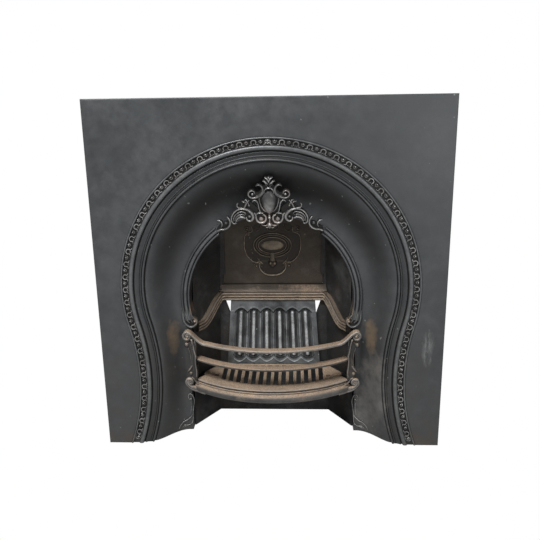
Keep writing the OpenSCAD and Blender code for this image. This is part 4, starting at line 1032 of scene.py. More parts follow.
def running_ornament(count):
    motif = object_from(loop_motif(), "loop_motif")
    line_mesh = bpy.data.meshes.new("channel_line")
    line = channel_line()
    line_mesh.from_pydata(line, [(i, i + 1) for i in range(len(line) - 1)], [])
    guide = bpy.data.objects.new("channel_line", line_mesh)
    bpy.context.scene.collection.objects.link(guide)
    tree, sockets = along_line_tree("Ornament along a line")
    modifier = guide.modifiers.new("ornament", "NODES")
    modifier.node_group = tree
    modifier[sockets["Motif"]] = motif
    modifier[sockets["Count"]] = count
    modifier[sockets["Finish"]] = CREST_IRON
    bpy.context.view_layer.update()
    evaluated = guide.evaluated_get(bpy.context.evaluated_depsgraph_get())
    mesh = bpy.data.meshes.new_from_object(evaluated)
    mesh.name = "channel_ornament"
    bpy.data.objects.remove(guide)
    bpy.data.objects.remove(motif)
    print("channel ornament:", count, "loops,", len(mesh.polygons), "faces")
    return mesh

# %% [markdown]
# ### The front casting's pieces
# The plate with its moulding takes the place of the imported plate. The hooks, the foot scrolls and the
# running ornament lie on it as pieces of their own: the hooks in the same black, the others in a
# brighter finish, because brushing has rubbed them, with a painted highlight on their crests too.

# %% Put the front casting together
LOOPS = 59
make_piece("front_casting", front_shape, "casting", BLACKED, ["front_plate"], 32)
make_piece("arch_hooks", arch_hook(), "casting", BLACKED)
make_piece("foot_scrolls", foot_scroll(), "casting", CREST_IRON)
finish_mesh("channel_ornament", running_ornament(LOOPS), "casting", CREST_IRON, ())

# %% [markdown]
# ### The channel's ends
# A round stop closes the channel above the floor, with a bud before it, and a knob with two leaves
# marks the crown. They are single pieces, so they are drawn by themselves.

# %% Stops and crown
CHANNEL_HALF, CHANNEL_END, LEG_LENGTH = 7.4, 15, 352


def channel_ends():
    """A round stop with a bud at each foot of the ornament, and a knob at the arch's crown."""
    shape = Shape()

    def on_band(u, v, up):
        """u runs down the right leg from the last loop, v outwards from the channel's middle."""
        t = ORNAMENT_FROM - u / LEG_LENGTH
        x, z = band_at(t, v)
        return x, CHANNEL_D - up, z

    turns = np.radians(np.linspace(90, -90, 17))
    end_curve = [(CHANNEL_END + CHANNEL_HALF * math.cos(a), CHANNEL_HALF * math.sin(a)) for a in turns]
    plug = end_curve + [(35, -CHANNEL_HALF - 5), (35, CHANNEL_HALF + 5)]
    add_tube(shape, [[on_band(u, v, up) for u, v in plug] for up in (-0.5, 1.4)], -0.1)
    rim = [(CHANNEL_END - 8, CHANNEL_HALF + 1)] + end_curve + [(CHANNEL_END - 8, -CHANNEL_HALF - 1)]
    ridge(shape, rim, 4.4, [1, 4.6, 4.6, 4.6, 1], on_band, 0.6, shine=0.5)
    ball(shape, CHANNEL_END + 1, -0.5, 4.2, on_band, 5.4)
    ridge(
        shape, smooth([(CHANNEL_END - 9, -6), (CHANNEL_END - 5, -1), (CHANNEL_END - 9, 5)]),
        [2, 3.4, 2], [2, 4, 2], on_band, 0.6,
    )
    shape.mirrored()
    crown = at_depth(1)
    ball(shape, 0, ARCH_Z + BAND_R + 3.5, 4.6, crown, 6)
    ridge(
        shape, smooth([(-9, 848), (-5, 851.5), (0, 850), (5, 851.5), (9, 848)]),
        [2, 3, 3, 2], [2, 3.4, 3.4, 2], crown,
    )
    return shape


make_piece("channel_ends", channel_ends(), "casting", CREST_IRON)

# %% [markdown]
# ## The crest
# A separate casting is screwed on the crown of the inner arch and leans towards the room: a smooth
# vase between two straps, C-scrolls and leaves on each side, and a leafy finial. Sculpting it would
# give a surface that can't be measured or changed. It is drawn in its own leaning plane: scrolls are
# ridges that end in bosses, leaves are ridges with a vein, and one half is mirrored.

# %% Crest
CREST_Z, CREST_D, CREST_T = 622, 66, 5
LEAN = math.radians(16)


def on_crest(u, v, up):
    """The crest's own plane: u to the right, v up along it, up towards the room."""
    forward = CREST_T + up
    y = CREST_D - v * math.sin(LEAN) - forward * math.cos(LEAN)
    z = CREST_Z + v * math.cos(LEAN) - forward * math.sin(LEAN)
    return u, y, z


SCROLL_WIDER, SCROLL_HIGHER = 1.22, 1.2


def scroll(shape, points, width, height, vein=0.0, shine=1.0):
    """One line of the crest, a little bolder than the lines that were measured."""
    wide = [SCROLL_WIDER * w for w in width]
    high = [SCROLL_HIGHER * h for h in height]
    ridge(shape, smooth(points), wide, high, on_crest, 5.0, 10, vein, shine)


def boss(shape, u, v, r, height, shine=1.0):
    ball(shape, u, v, r, on_crest, height, 4, shine=shine)

# %% [markdown]
# ### Scrolls and leaves
# From the base up: a volute, a large leaf scroll with its lobes, sprigs, the straps of the vase, the
# shoulder, the open scroll that joins the arch's reeds, and the finial. Each is a line or two that
# was read from the photograph, with a width and a height that swell and taper.

# %% The crest's right half, part by part
def base_volute(shape):
    """A thick band that winds round a boss."""
    scroll(
        shape, [(41, 47), (36.5, 40), (35.5, 30), (30.5, 21), (22, 18), (13.5, 21), (9.5, 29),
                (11, 37.5), (17.5, 41)],
        [4.5, 5.4, 6, 6.2, 6.4, 6, 5.4, 4.6, 3], [5, 6, 6.4, 6.6, 6.6, 6.4, 6, 5, 3],
    )
    boss(shape, 22.5, 27.5, 7, 5, 0.8)
    scroll(shape, [(17, 45.5), (24, 46.5), (31, 45.5), (36, 41)], [3, 4, 4, 3], [4, 5, 5, 4])


def leaf_scroll(shape):
    """It curls under at its inner end, arches over and hooks in at its outer end."""
    scroll(
        shape, [(62, 34), (60.5, 26), (54, 22.5), (47.5, 26), (44, 33), (45, 42), (51, 50),
                (60.5, 56.5), (72, 58.8), (85, 55.8), (95, 48), (101, 38), (102.8, 28), (100.8, 19),
                (94.5, 14.8), (90, 17.6)],
        [3, 4, 5.4, 7, 9, 9.6, 8.6, 6.6, 5, 4.6, 4.8, 5, 5, 5, 4.6, 3],
        [3, 4, 5, 6, 7, 7.4, 7, 6, 5.4, 5, 5.2, 5.4, 5.4, 5.2, 4.6, 3],
    )
    boss(shape, 53.5, 35.5, 4.6, 5, 0.8)


def leaf_lobes(shape):
    """Three lobes of the leaf, nested under the scroll."""
    scroll(
        shape, [(97, 22), (96.6, 32), (91, 42), (81.5, 48.6), (71, 49.8), (64.5, 46.5), (64, 41.5)],
        [3, 3.6, 4, 4.2, 4.2, 4, 2.6], [3, 4, 4.4, 4.4, 4.4, 4, 2.6], 0.2, 0.9,
    )
    scroll(
        shape, [(94, 22), (90.5, 33), (83.5, 40), (74.5, 42.6), (66.5, 40)],
        [3, 4.6, 5.2, 4.6, 2.4], [2.6, 3.6, 4, 3.6, 2], 0.4, 0.8,
    )
    scroll(
        shape, [(91, 21), (86.5, 29.5), (79.5, 33.8), (72, 34.2), (65.5, 30.5)],
        [4, 5.4, 6, 6.4, 4], [3.4, 4.4, 5, 5.2, 3.4],
    )


def sprigs(shape):
    """Small sprigs above the leaf."""
    scroll(
        shape, [(67.5, 60), (63, 69), (58.5, 77), (53, 83.5)],
        [4, 4.6, 4.4, 2.4], [4, 4.6, 4.4, 2.4], 0.2, 0.8,
    )
    scroll(shape, [(60.5, 75), (66, 78.6), (73, 79.4)], [3.4, 4.4, 2], [3.4, 4, 2], 0.3, 0.7)
    scroll(shape, [(58, 78), (60, 82.5), (64, 84.5)], [3, 3.6, 1.8], [3, 3.6, 2], 0, 0.8)
    scroll(shape, [(57, 76), (54.5, 71), (53.5, 66)], [3, 3.4, 2], [3, 3.4, 2], 0, 0.7)
    boss(shape, 54, 67.5, 3, 4, 0.7)
    scroll(
        shape, [(72, 60), (80, 61), (85, 65), (85.8, 70.5), (83, 74.5)],
        [4, 4.4, 4, 3.2, 1.8], [4, 4.4, 4, 3.2, 2], 0, 0.9,
    )


def vase_straps(shape):
    """Two straps that hold the vase."""
    scroll(
        shape, [(44, 78.5), (41.5, 82.8), (36, 83.2), (31, 77.5), (28.4, 67), (26.8, 57.5),
                (23.5, 49), (18, 44.5)],
        [2.6, 4.2, 4.8, 4.2, 3.8, 3.8, 4, 3], [3, 4.6, 5, 4.6, 4.4, 4.6, 5, 4], 0, 0.9,
    )
    scroll(
        shape, [(26.5, 91), (25, 80), (22.4, 70), (18.8, 61.5), (13.5, 54.5), (8, 50)],
        [2.6, 3.2, 3.4, 3.6, 3.6, 2.4], [4, 4.8, 5.4, 5.8, 6, 4], 0, 0.8,
    )


def shoulder(shape):
    """The volute beside the vase, and the curl that grows out of it."""
    scroll(
        shape, [(28, 94), (36, 91), (45, 90.2), (52.5, 95), (54.4, 102.5), (50.5, 108.8),
                (44, 110.6), (38.6, 107), (37.4, 101)],
        [7, 5.4, 4.6, 4.6, 4.4, 4.2, 4, 3.6, 2.6], [5, 5, 5, 5, 4.8, 4.6, 4.2, 3.6, 2.6], 0, 0.75,
    )
    boss(shape, 43.6, 100.6, 4.2, 6, 1.0)
    scroll(
        shape, [(34, 93.5), (25, 96), (18.5, 102.5), (15.6, 112), (18, 121), (24, 126), (30, 126.4),
                (34, 122.5)],
        [6, 9, 8.4, 6.4, 4.8, 4.2, 3.6, 2.2], [4, 5, 5, 4.8, 4.4, 4, 3.4, 2.2], 0.15, 0.5,
    )


def joining_scroll(shape):
    """The open C that joins the reeds of the inner arch, and its hook."""
    scroll(
        shape, [(115, 35.5), (110.5, 30.5), (107, 22), (108.4, 11), (115, 2.5), (124.5, -2.2),
                (135, -3.4), (144, -7.5)],
        [2.6, 4.8, 5.4, 5.6, 5.6, 5.2, 5, 4.6], [3, 4.8, 5.6, 5.8, 5.8, 5.4, 5, 4.4],
    )
    scroll(
        shape, [(141, 25), (134.5, 23.6), (130, 18), (129.6, 10.5), (132, 4)],
        [2.4, 4, 4.4, 4.2, 2.6], [2.6, 4.4, 5, 4.6, 3],
    )
    boss(shape, 119, 15, 5, 3.4, 0.4)


def finial_leaves(shape):
    """Two pairs of leaves at the top."""
    scroll(shape, [(3, 129), (7, 133), (11.5, 137), (16, 137)], [4, 6, 5, 2], [4, 6, 5, 2.4], 0, 0.9)
    scroll(shape, [(1, 139), (4.5, 144), (10.5, 147.4)], [4.4, 5.6, 2], [4.4, 5.4, 2.4], 0, 0.9)
    scroll(shape, [(2, 122), (6.5, 125), (10, 131)], [3.4, 3.6, 2], [3, 3, 2], 0, 0.3)


def crest_side():
    """Everything on the crest's right half."""
    shape = Shape()
    for part in [base_volute, leaf_scroll, leaf_lobes, sprigs, vase_straps, shoulder, joining_scroll,
                 finial_leaves]:
        part(shape)
    return shape

# %% [markdown]
# ### Web and vase
# A thin web behind the scrolls joins them, as in the real casting, and is darkened with painted shade
# between the scrolls. The vase is a half round form whose width follows a short list of heights.

# %% The crest's web and its vase
def crest_web(shape):
    """Thin iron behind the scrolls, so that the crest holds together."""

    def plate(outline):
        curve = smooth(outline + outline[:1], 4)[:-1]
        # Relief -1 paints the web in shade.
        add_tube(shape, [[on_crest(u, v, up) for u, v in curve] for up in (-0.6, -4.5)], -1)

    plate([(0, 30), (12, 34), (24, 44), (29, 62), (36, 78), (46, 84), (48, 98), (38, 104), (26, 106),
           (16, 122), (7, 128), (5, 146), (0, 149), (-5, 146), (-7, 128), (-16, 122), (-26, 106),
           (-38, 104), (-48, 98), (-46, 84), (-36, 78), (-29, 62), (-24, 44), (-12, 34)])
    plate([(-34, 40), (-30, 24), (-22, 19), (-14, 22), (-9, 12), (0, 2), (9, 12), (14, 22), (22, 19),
           (30, 24), (34, 40), (0, 46)])
    leaf = [(34, 36), (44, 27), (54, 23), (61, 28), (72, 33), (84, 31), (94, 16), (101, 20), (102, 34),
            (93, 49), (80, 60), (64, 74), (54, 80), (44, 72), (32, 60)]
    hook = [(99, 24), (103, 15), (108, 14), (109, 24), (104, 31)]
    joint = [(108, 22), (111, 8), (124, -1), (144, -6), (142, 4), (131, 12), (122, 20)]
    for side in (-1, 1):
        for outline in (leaf, hook, joint):
            plate([(side * u, v) for u, v in outline][::side])


def crest_vase(shape):
    """The smooth boss in the middle, with a collar, a drop and its leaves."""
    heights = [(43, 2), (46, 7), (51, 11), (58, 14.5), (66, 17.5), (75, 19.5), (84, 20), (92, 18.5),
               (99, 15), (105, 10.5), (109, 6)]
    rings, relief = [], []
    around = 14
    for v, half in heights:
        ring = []
        for k in range(around + 1):
            a = math.pi * k / around
            ring.append(on_crest(half * math.cos(a), v, half * 0.62 * math.sin(a) + 0.6))
            # A painted highlight along the vase's middle, turning to painted shade towards its top
            # under the arch.
            relief.append(math.sin(a) ** 2 * (1.0 - 1.2 * max(0, (v - 60) / 50)))
        ring += [on_crest(-half, v, -2), on_crest(half, v, -2)]
        relief += [0, 0]
        rings.append(ring)
    add_tube(shape, rings, relief)
    ridge(
        shape, smooth([(-13, 103), (-11.6, 111), (-6.6, 117), (0, 119), (6.6, 117), (11.6, 111),
                       (13, 103)]),
        [3.4, 4.6, 4.8, 4.6, 3.4], [5, 6.5, 7, 6.5, 5], on_crest, 4,
    )
    ridge(shape, smooth([(0, 42), (0, 34), (0, 24), (0, 14)]), [6, 7, 5, 4], [5, 6, 5, 4], on_crest, 4)
    ball(shape, 0, 11, 7, on_crest, 9, 4)
    ball(shape, 0, 2.5, 3.6, on_crest, 4, 4)
    ball(shape, 0, 33, 4.8, on_crest, 9, 4)
    ball(shape, 0, 146.5, 3.4, on_crest, 5, 4)
    ball(shape, 0, 136, 3.6, on_crest, 5, 4)
    for side in (-1, 1):
        for curve in [[(5, 11), (13, 8.4), (20, 10.4), (23.5, 14.5)], [(2, 5), (7, 2.6), (12, 4)]]:
            ridge(
                shape, smooth([(side * u, v) for u, v in curve]),
                [4, 5, 4.4, 2], [4, 5, 4, 2], on_crest, 4, 8, 0.2,
            )


PAD_X, PAD_Z, PAD_R, PAD_FRONT = 30, 656, 7, 54
crest_shape = crest_side().mirrored()
crest_web(crest_shape)
crest_vase(crest_shape)
for side in (-1, 1):
    pad = spiral(side * PAD_X, PAD_Z, PAD_R, PAD_R, 0, 345, 24)
    slab(crest_shape, pad, PAD_FRONT, RING_FRONT)
make_piece("crest", crest_shape, "casting", CREST_IRON, ["arch_crest"])

# %% [markdown]
# ## The firebox: cheeks and their moulding
# Each side of the fire is one casting: a wall that leans in a little, with three reeds that rise on
# it in an S and turn into the corner. Extruding the reeds along a curve would twist them where the
# curve turns, so a formula sets their section at each station, flat on the wall and square to the line.

# %% Cheeks with their moulding
FRONT_X, FOOT_X, BACK_D, BOX_T = 236, 172, 211, 6
CHEEK_LEAN = math.radians(1.35)
CHEEK_L = math.hypot(FRONT_X - FOOT_X, BACK_D - JOINT_D)
ALONG_X, ALONG_Y = (FOOT_X - FRONT_X) / CHEEK_L, (BACK_D - JOINT_D) / CHEEK_L
LEAN_X = math.tan(CHEEK_LEAN) / ALONG_Y
LINTEL_Z, LINTEL_T, REED_R, REED_PITCH, SHELF_H = 370, 13, 4.4, 8.6, 21
REEDS_Z = LINTEL_Z + REED_R + REED_PITCH
REEDS_H = 2 * (REED_R + REED_PITCH)
OGEE_Z, OGEE_START, MOULDING_START = 318, 27, 5
CORNER_R, BACK_FLANGE_X = 26, 206
CORNER_TURN = math.pi / 2 - math.atan2(-ALONG_X, ALONG_Y)
SHELF_TOP = LINTEL_Z + REEDS_H + SHELF_H


def on_cheek(u, v, up):
    """The right cheek's inner face: u along it from the front, v up, up into the firebox."""
    inward = v * math.sin(CHEEK_LEAN) + up
    return (
        FRONT_X + u * ALONG_X - inward * ALONG_Y,
        JOINT_D + u * ALONG_Y + inward * ALONG_X,
        v * math.cos(CHEEK_LEAN),
    )


def corner_start(v):
    """How far along the cheek, at height v, its moulding begins to turn towards the lintel."""
    inward = v * math.sin(CHEEK_LEAN) + CORNER_R
    return (BACK_D - CORNER_R - JOINT_D - inward * ALONG_X) / ALONG_Y


def corner_centre(v):
    x, y, _ = on_cheek(corner_start(v), v, CORNER_R)
    return x, y


def on_rounded_cheek(u, v, up):
    """The cheek's inner face, with its corner to the back rounded."""
    turned = (u - corner_start(v)) / CORNER_R
    if turned <= 0:
        return on_cheek(u, v, up)
    x, y = corner_centre(v)
    a = math.atan2(ALONG_X, -ALONG_Y) + turned
    reach = up - CORNER_R
    return x + reach * math.cos(a), y + reach * math.sin(a), v * math.cos(CHEEK_LEAN)


def reeds_section(back=0.0):
    """Section of the moulding: height from its middle, distance out, relief."""
    half, flat = REEDS_H / 2, LINTEL_T - 1.5
    points = [(-half, back, 0.0), (-half, flat, 0.0)]
    for i in (-1, 0, 1):
        for a in np.radians(np.linspace(172, 8, 10)):
            height = i * REED_PITCH + REED_R * math.cos(a)
            # Relief: reed crests lightened as wear and painted highlight, the gaps between them in
            # painted shade.
            points.append((height, flat + (REED_R + 1.2) * math.sin(a), 2.3 * math.sin(a) ** 2 - 1.2))
    return points + [(half, flat, 0.0), (half, back, 0.0)]


def cheek_walls():
    """Both cheeks with their flanges; they lean in a little towards the top."""
    shape = Shape()
    top_shift = BOX_H * LEAN_X
    skew = BOX_T / ALONG_Y
    rings = [
        [(FRONT_X - shift, JOINT_D, z), (FOOT_X - shift, BACK_D, z), (FOOT_X - shift + skew, BACK_D, z),
         (FRONT_X - shift + skew, JOINT_D, z)]
        for z, shift in [(0, 0), (BOX_H, top_shift)]
    ]
    add_tube(shape, rings)
    front_flange = (FRONT_X, LEG_X + FLANGE_W, JOINT_D, JOINT_D + BOX_T)
    back_flange = (FOOT_X, BACK_FLANGE_X, BACK_D - BOX_T, BACK_D)
    for x, out, y0, y1 in (front_flange, back_flange):
        middle = x + skew / 2
        slab(shape, [(middle, 0), (out, 0), (out, BOX_H), (middle - top_shift, BOX_H)], y0, y1)
    return shape.mirrored()


def cheek_mouldings():
    """The reeds climb in an S along each cheek and turn the corner into the lintel's reeds."""
    shape = Shape()
    end = corner_start(REEDS_Z) + CORNER_R * CORNER_TURN
    run = end - 10 - OGEE_START
    section = reeds_section(-5)
    rings, relief = [], []
    for u in [MOULDING_START] + list(np.linspace(OGEE_START - 1, end, 48)):
        climb = min(1, max(0, (u - OGEE_START) / run))
        middle = OGEE_Z + (REEDS_Z - OGEE_Z) * (1 - math.cos(math.pi * climb)) / 2
        slope = math.atan2((REEDS_Z - OGEE_Z) * math.pi / 2 * math.sin(math.pi * climb), run)
        rings.append([
            on_rounded_cheek(u - height * math.sin(slope), middle + height * math.cos(slope), out)
            for height, out, _ in section
        ])
        relief.extend(high for _, _, high in section)
    add_tube(shape, rings, relief)
    return shape.mirrored()


make_piece("cheeks", cheek_walls(), "casting", SOOTED, ["cheek_left", "cheek_right"])
make_piece("cheek_mouldings", cheek_mouldings(), "casting", MOULDING)

# %% [markdown]
# ## The lintel
# The bar across the back goes on with the three reeds and has a hollow shelf above them. It uses the
# reeds' own section, so that the moulding meets it without a step. It is longer where its shelf
# comes forward between the splayed cheeks, so no cutting is needed at the ends.

# %% Lintel: three reeds and a hollow shelf above them
def lintel_reach(y, z):
    """Half the lintel's length: its reeds end where the mouldings turn in, its shelf widens forward."""
    if z < REEDS_Z + REEDS_H / 2:
        return corner_centre(z)[0] + 0.3
    return FOOT_X - z * LEAN_X - 0.5 + (BACK_D - y) / 3


def lintel():
    shape = Shape()
    lip, face = 3, LINTEL_T - 1.5
    profile = [(REEDS_Z + h, BACK_D - out, high) for h, out, high in reeds_section()[:-1]]
    for a in np.radians(np.linspace(0, 90, 12)):
        depth = lip + (face - lip) * (1 - math.sin(a))
        profile.append((REEDS_Z + REEDS_H / 2 + SHELF_H * (1 - math.cos(a)), BACK_D - depth, 0.05))
    profile += [(SHELF_TOP, BACK_D - lip + 0.5, 0.4), (SHELF_TOP, BACK_D, 0)]
    rings = [[(x * lintel_reach(y, z), y, z) for z, y, _ in profile] for x in np.linspace(-1, 1, 41)]
    add_tube(shape, rings, [high for _, _, high in profile] * 41)
    return shape


make_piece("lintel_bar", lintel(), "casting", MOULDING, ["lintel"])

# %% [markdown]
# ## Fireback
# A loose slab behind the fire, with scalloped recesses and a rib in each, worn silver by the heat.
# Cutting recesses with booleans leaves sharp, uneven edges. Its front is one height field instead: a
# formula gives the height and the relief at each place, and the grid follows it.

# %% Fireback
FIREBACK_TOP, FIREBACK_FOOT, FIREBACK_T, RIBS = 256, 286, 13, 6
FIREBACK_LEAN = math.radians(2.5)
RECESS_D, RIB_HIGH = 11.0, 8.6
FIREBACK_Z = 167.3
FIREBACK_H = (
    (LINTEL_Z - 0.8 - FIREBACK_Z) / math.cos(FIREBACK_LEAN) - FIREBACK_T * math.tan(FIREBACK_LEAN)
)
FIREBACK_BACK = BACK_D - 0.3 - FIREBACK_H * math.sin(FIREBACK_LEAN)


def fireback_relief(across, v):
    """Height above the floor of the recesses, and relief, at a share across (0 to 1) and a height v."""
    margin, level, rib_half, band_from = 0.05, 9.0, 0.16, 0.31
    share = (across - margin) / (1 - 2 * margin) * RIBS
    cell = min(max(share, 0), RIBS - 1e-6)
    local = abs(cell - math.floor(cell) - 0.5)
    top = FIREBACK_H - 25 - 13 * (2 * local) ** 2
    foot = 15 + 14 * (2 * local) ** 1.7
    zigzag = 1.8 * math.exp(-((v - foot + 9) / 1.5) ** 2) * (1 if 0.1 <= share <= RIBS - 0.1 else 0)
    brim = 1.2 * math.exp(-((v - top - 4) / 1.8) ** 2)
    from_edge = min(top - v, v - foot)
    if not 0 <= share <= RIBS or from_edge < 0:
        # Just outside a recess the relief drops: a painted shade line round its edge.
        dark = 0.9 if 0 <= share <= RIBS and from_edge > -1.6 else 0.0
        return level + zigzag + brim, 0.5 * zigzag + 0.25 * brim - dark
    depth = min(1, from_edge / 3)
    rib_end = min(1, max(0, top - 6 - v) / 6, max(0, v - foot - 6) / 6)
    rib = RIB_HIGH * math.sqrt(max(0, 1 - (local / rib_half) ** 2)) * rib_end
    band = 5.6 * min(1, max(0, local - band_from) / 0.02)
    inner_line = math.exp(-((local - band_from - 0.03) / 0.02) ** 2)
    line = 1.6 * (inner_line + math.exp(-((local - 0.48) / 0.03) ** 2))
    high = max(rib, band + line)
    # Inside, ribs and lines are lightened as heat wear and painted highlight; the recess's floor is
    # darker, and its edge gets painted shade.
    relief = max(1.9 * (rib / RIB_HIGH) ** 1.4 - 0.6, 0.55 * line - 0.3 if band else -0.6)
    return level * (1 - depth) + high * depth, relief * depth - 1.0 * (1 - depth)


def fireback():
    shape = Shape()
    columns, rows = 289, 141
    c, s = math.cos(FIREBACK_LEAN), math.sin(FIREBACK_LEAN)

    def place(x, v, forward):
        return x, FIREBACK_BACK + v * s - forward * c, FIREBACK_Z + v * c + forward * s

    rings, relief = [], []
    for j in range(rows):
        v = FIREBACK_H * j / (rows - 1)
        half = (FIREBACK_FOOT + (FIREBACK_TOP - FIREBACK_FOOT) * v / FIREBACK_H) / 2
        ring = [place(-half, v, 0)]
        relief.append(0)
        for i in range(columns):
            across = i / (columns - 1)
            level, bright = fireback_relief(across, v)
            ring.append(place((2 * across - 1) * half, v, FIREBACK_T - RECESS_D + level))
            relief.append(bright)
        ring.append(place(half, v, 0))
        relief.append(0)
        rings.append(ring)
    add_tube(shape, rings, relief)
    return shape


make_piece("fireback_casting", fireback(), "casting", BURNT, ["fireback"], 60)

# %% [markdown]
# ## The register flap
# The flap closes the way to the flue. It is a thin plate with a cartouche cast on it: an oval in
# rings, C-shaped straps round it, and a tongue with a shield below. The raised parts are ridges on
# the plate. The grounds between them are thin layers darkened with painted shade, so that they look
# sunk although nothing is cut.

# %% Register flap
FLAP_W, FLAP_H, FLAP_T, HINGE_Y, HINGE_Z, HINGE_UP = 302, 216, 6, 224.3, 438, 19
FLAP_FRONT = HINGE_Y - 4 - FLAP_T / 2
FLAP_FOOT = HINGE_Z - HINGE_UP
OVAL_Z = 538
KNUCKLE_R, KNUCKLE_FROM, KNUCKLE_TO = 8, 126, 151
on_flap = at_depth(FLAP_FRONT)


def oval(half_x, half_z, start=0, end=360, steps=56):
    """Points round the oval's centre, from angle start to angle end."""
    turns = np.radians(np.linspace(start, end, steps))
    return [(half_x * math.cos(a), OVAL_Z + half_z * math.sin(a)) for a in turns]


def flap_plate(shape):
    half, top = FLAP_W / 2, FLAP_FOOT + FLAP_H
    corners = [(-half, FLAP_FOOT), (half, FLAP_FOOT), (half, top), (-half, top)]
    slab(shape, corners, FLAP_FRONT, FLAP_FRONT + FLAP_T, 0, 0.8)


def flap_grounds(shape):
    """Two thin layers in painted shade that look sunk: one round the oval, one inside the lower C."""
    ground = [(0, 494), (22, 492), (40, 492), (52, 489), (66, 496), (76, 509), (82, 528), (82.6, 550),
              (79, 568), (70, 576), (60, 580), (59, 592), (50, 603), (20, 606)]
    basin = [(0, 447), (20, 450), (32, 458), (38, 470), (34, 480), (24, 486), (0, 487)]
    for outline in (ground, basin):
        whole = outline + [(-x, z) for x, z in outline[::-1] if x > 0]
        slab(shape, smooth(whole + whole[:1], 4)[:-1], FLAP_FRONT - 0.35, FLAP_FRONT + 1, -0.5)


def flap_oval(shape):
    """Rings with dark grooves between them, and a smooth boss."""
    oval_rings = [(56.5, 36.5, 4.4, 4.4, 0.8), (49, 30.5, 7, 2.6, 0.25), (42, 24.5, 4, 4.6, 0.9)]
    for half_x, half_z, width, high, shine in oval_rings:
        ridge(shape, oval(half_x, half_z), width, high, on_flap, 1, shine=shine)
    scales = (1.0, 0.98, 0.92, 0.75, 0.5, 0.05)
    heights = (-2, 0.6, 2.6, 3.8, 4.4, 4.6)
    rings = [
        [on_flap(x * k, OVAL_Z + (z - OVAL_Z) * k, up) for x, z in oval(34.5, 15.5, 0, 353)]
        for k, up in zip(scales, heights)
    ]
    add_tube(shape, rings, 0.55)


def strap(shape, points, width, height, shine=1.0):
    ridge(shape, smooth(points), width, height, on_flap, 1, shine=shine)


def large_straps(shape):
    """The C round the oval, the C below it, and the short piece that joins them."""
    strap(
        shape, [(61, 594), (60, 581), (66, 577.4), (75, 574), (82, 566), (84.6, 550), (84, 528),
                (78, 509), (68, 495.6), (58, 488), (47, 485), (38, 488), (34, 484), (30, 482)],
        [3, 3.4, 3.4, 3.6, 3.8, 4, 4.2, 4.6, 5, 5.4, 5, 4],
        [2.2, 2.6, 2.8, 3, 3.2, 3.4, 3.6, 3.6, 3.4, 3], 0.8,
    )
    strap(
        shape, [(0, 445), (12, 445.8), (23, 449.6), (32, 456.4), (38, 465), (40.4, 474), (39, 482),
                (33, 486)],
        [6.4, 6, 5.4, 4.6, 4.2, 4.4, 4], [4.6, 4.4, 4, 3.4, 3, 3], 1.0,
    )
    strap(shape, [(38, 489), (42, 494), (45, 499)], [3.4, 4, 2], [3, 3.2, 2], 0.8)


def small_curls(shape):
    """Curled ends of the straps, with balls in their eyes."""
    strap(
        shape, [(28, 480), (34.5, 480.5), (37, 474.5), (32.5, 471), (29.5, 474.5)],
        [3, 3.2, 3, 2], [2.4, 2.8, 2.4, 1.8], 0.4,
    )
    strap(
        shape, [(43, 482), (51, 483), (56.5, 477), (54, 470), (47, 467)],
        [2.6, 3.2, 3, 2.4], [2, 2.6, 2.4, 1.8], 0.5,
    )
    strap(
        shape, [(70, 592), (77, 594.5), (82, 589), (81, 582), (75, 579), (70, 583)],
        [3, 3.2, 3.2, 2.6], [2.4, 2.8, 2.6, 2], 0.5,
    )
    strap(
        shape, [(34, 602), (36, 592), (42, 584), (50, 582), (53, 590)],
        [3, 4, 4, 2.4], [2.4, 3, 2.8, 2], 0.3,
    )
    strap(
        shape, [(0, 581), (9, 583), (17, 589), (19, 598), (13, 603)],
        [4, 4.4, 4, 2.4], [3, 3.2, 2.6, 2], 0.3,
    )
    ball(shape, 49, 474, 4, on_flap, 4, shine=0.8)
    ball(shape, 76, 587, 4, on_flap, 3.6, shine=0.6)
    ball(shape, 6, 482.5, 4.8, on_flap, 11, shine=1.6)


def flap_tongue(shape):
    """The tongue that hangs from the oval, with its shield."""
    slab(
        shape, [(-9, 514), (-9, 490), (-13.5, 487.5), (-12, 479), (-7, 471.5), (0, 466.5),
                (7, 471.5), (12, 479), (13.5, 487.5), (9, 490), (9, 514)],
        FLAP_FRONT - 3.4, FLAP_FRONT + 1, -0.9, 0.8,
    )
    slab(shape, [(-8, 513), (-8, 489), (8, 489), (8, 513)], FLAP_FRONT - 4.6, FLAP_FRONT, 0.35, 0.8)
    slab(
        shape, [(-10, 485), (-8, 478), (0, 470.5), (8, 478), (10, 485)],
        FLAP_FRONT - 4.6, FLAP_FRONT, 0.2, 0.8,
    )
    for x in (-5.6, 5.6):
        ridge(shape, [(x, 512), (x, 489)], 3, 6.6, on_flap, 1, shine=0.7)


def flap_knuckles(shape):
    """Half rounds behind the plate, one round each hinge pin."""
    turns = np.linspace(-0.5, math.pi + 0.5, 18)
    for side in (-1, 1):
        knuckle = [
            [(x, HINGE_Y + KNUCKLE_R * math.sin(a), HINGE_Z + KNUCKLE_R * math.cos(a)) for a in turns]
            for x in (side * KNUCKLE_FROM, side * KNUCKLE_TO)
        ]
        add_tube(shape, knuckle)


def flap():
    shape = Shape()
    flap_plate(shape)
    flap_grounds(shape)
    flap_oval(shape)
    half = Shape()
    large_straps(half)
    small_curls(half)
    half.mirrored()
    shape.add(half.points, half.faces, half.relief)
    flap_tongue(shape)
    flap_knuckles(shape)
    return shape


make_piece("flap_casting", flap(), "flap", FLAP_IRON, ["damper_flap"])


def frame_lips():
    """Narrow lips on the flap's frame that close the view past the hinge ears."""
    shape = Shape()
    inner, y = FLAP_W / 2 + 0.3, HINGE_Y + 5.8
    box(shape, (inner, y, SHELF_TOP), (FLAP_W / 2 + 7, HINGE_Y + 7.8, HINGE_Z + 12))
    return shape.mirrored()


make_piece("flap_frame_lips", frame_lips(), "casting", SOOTED)

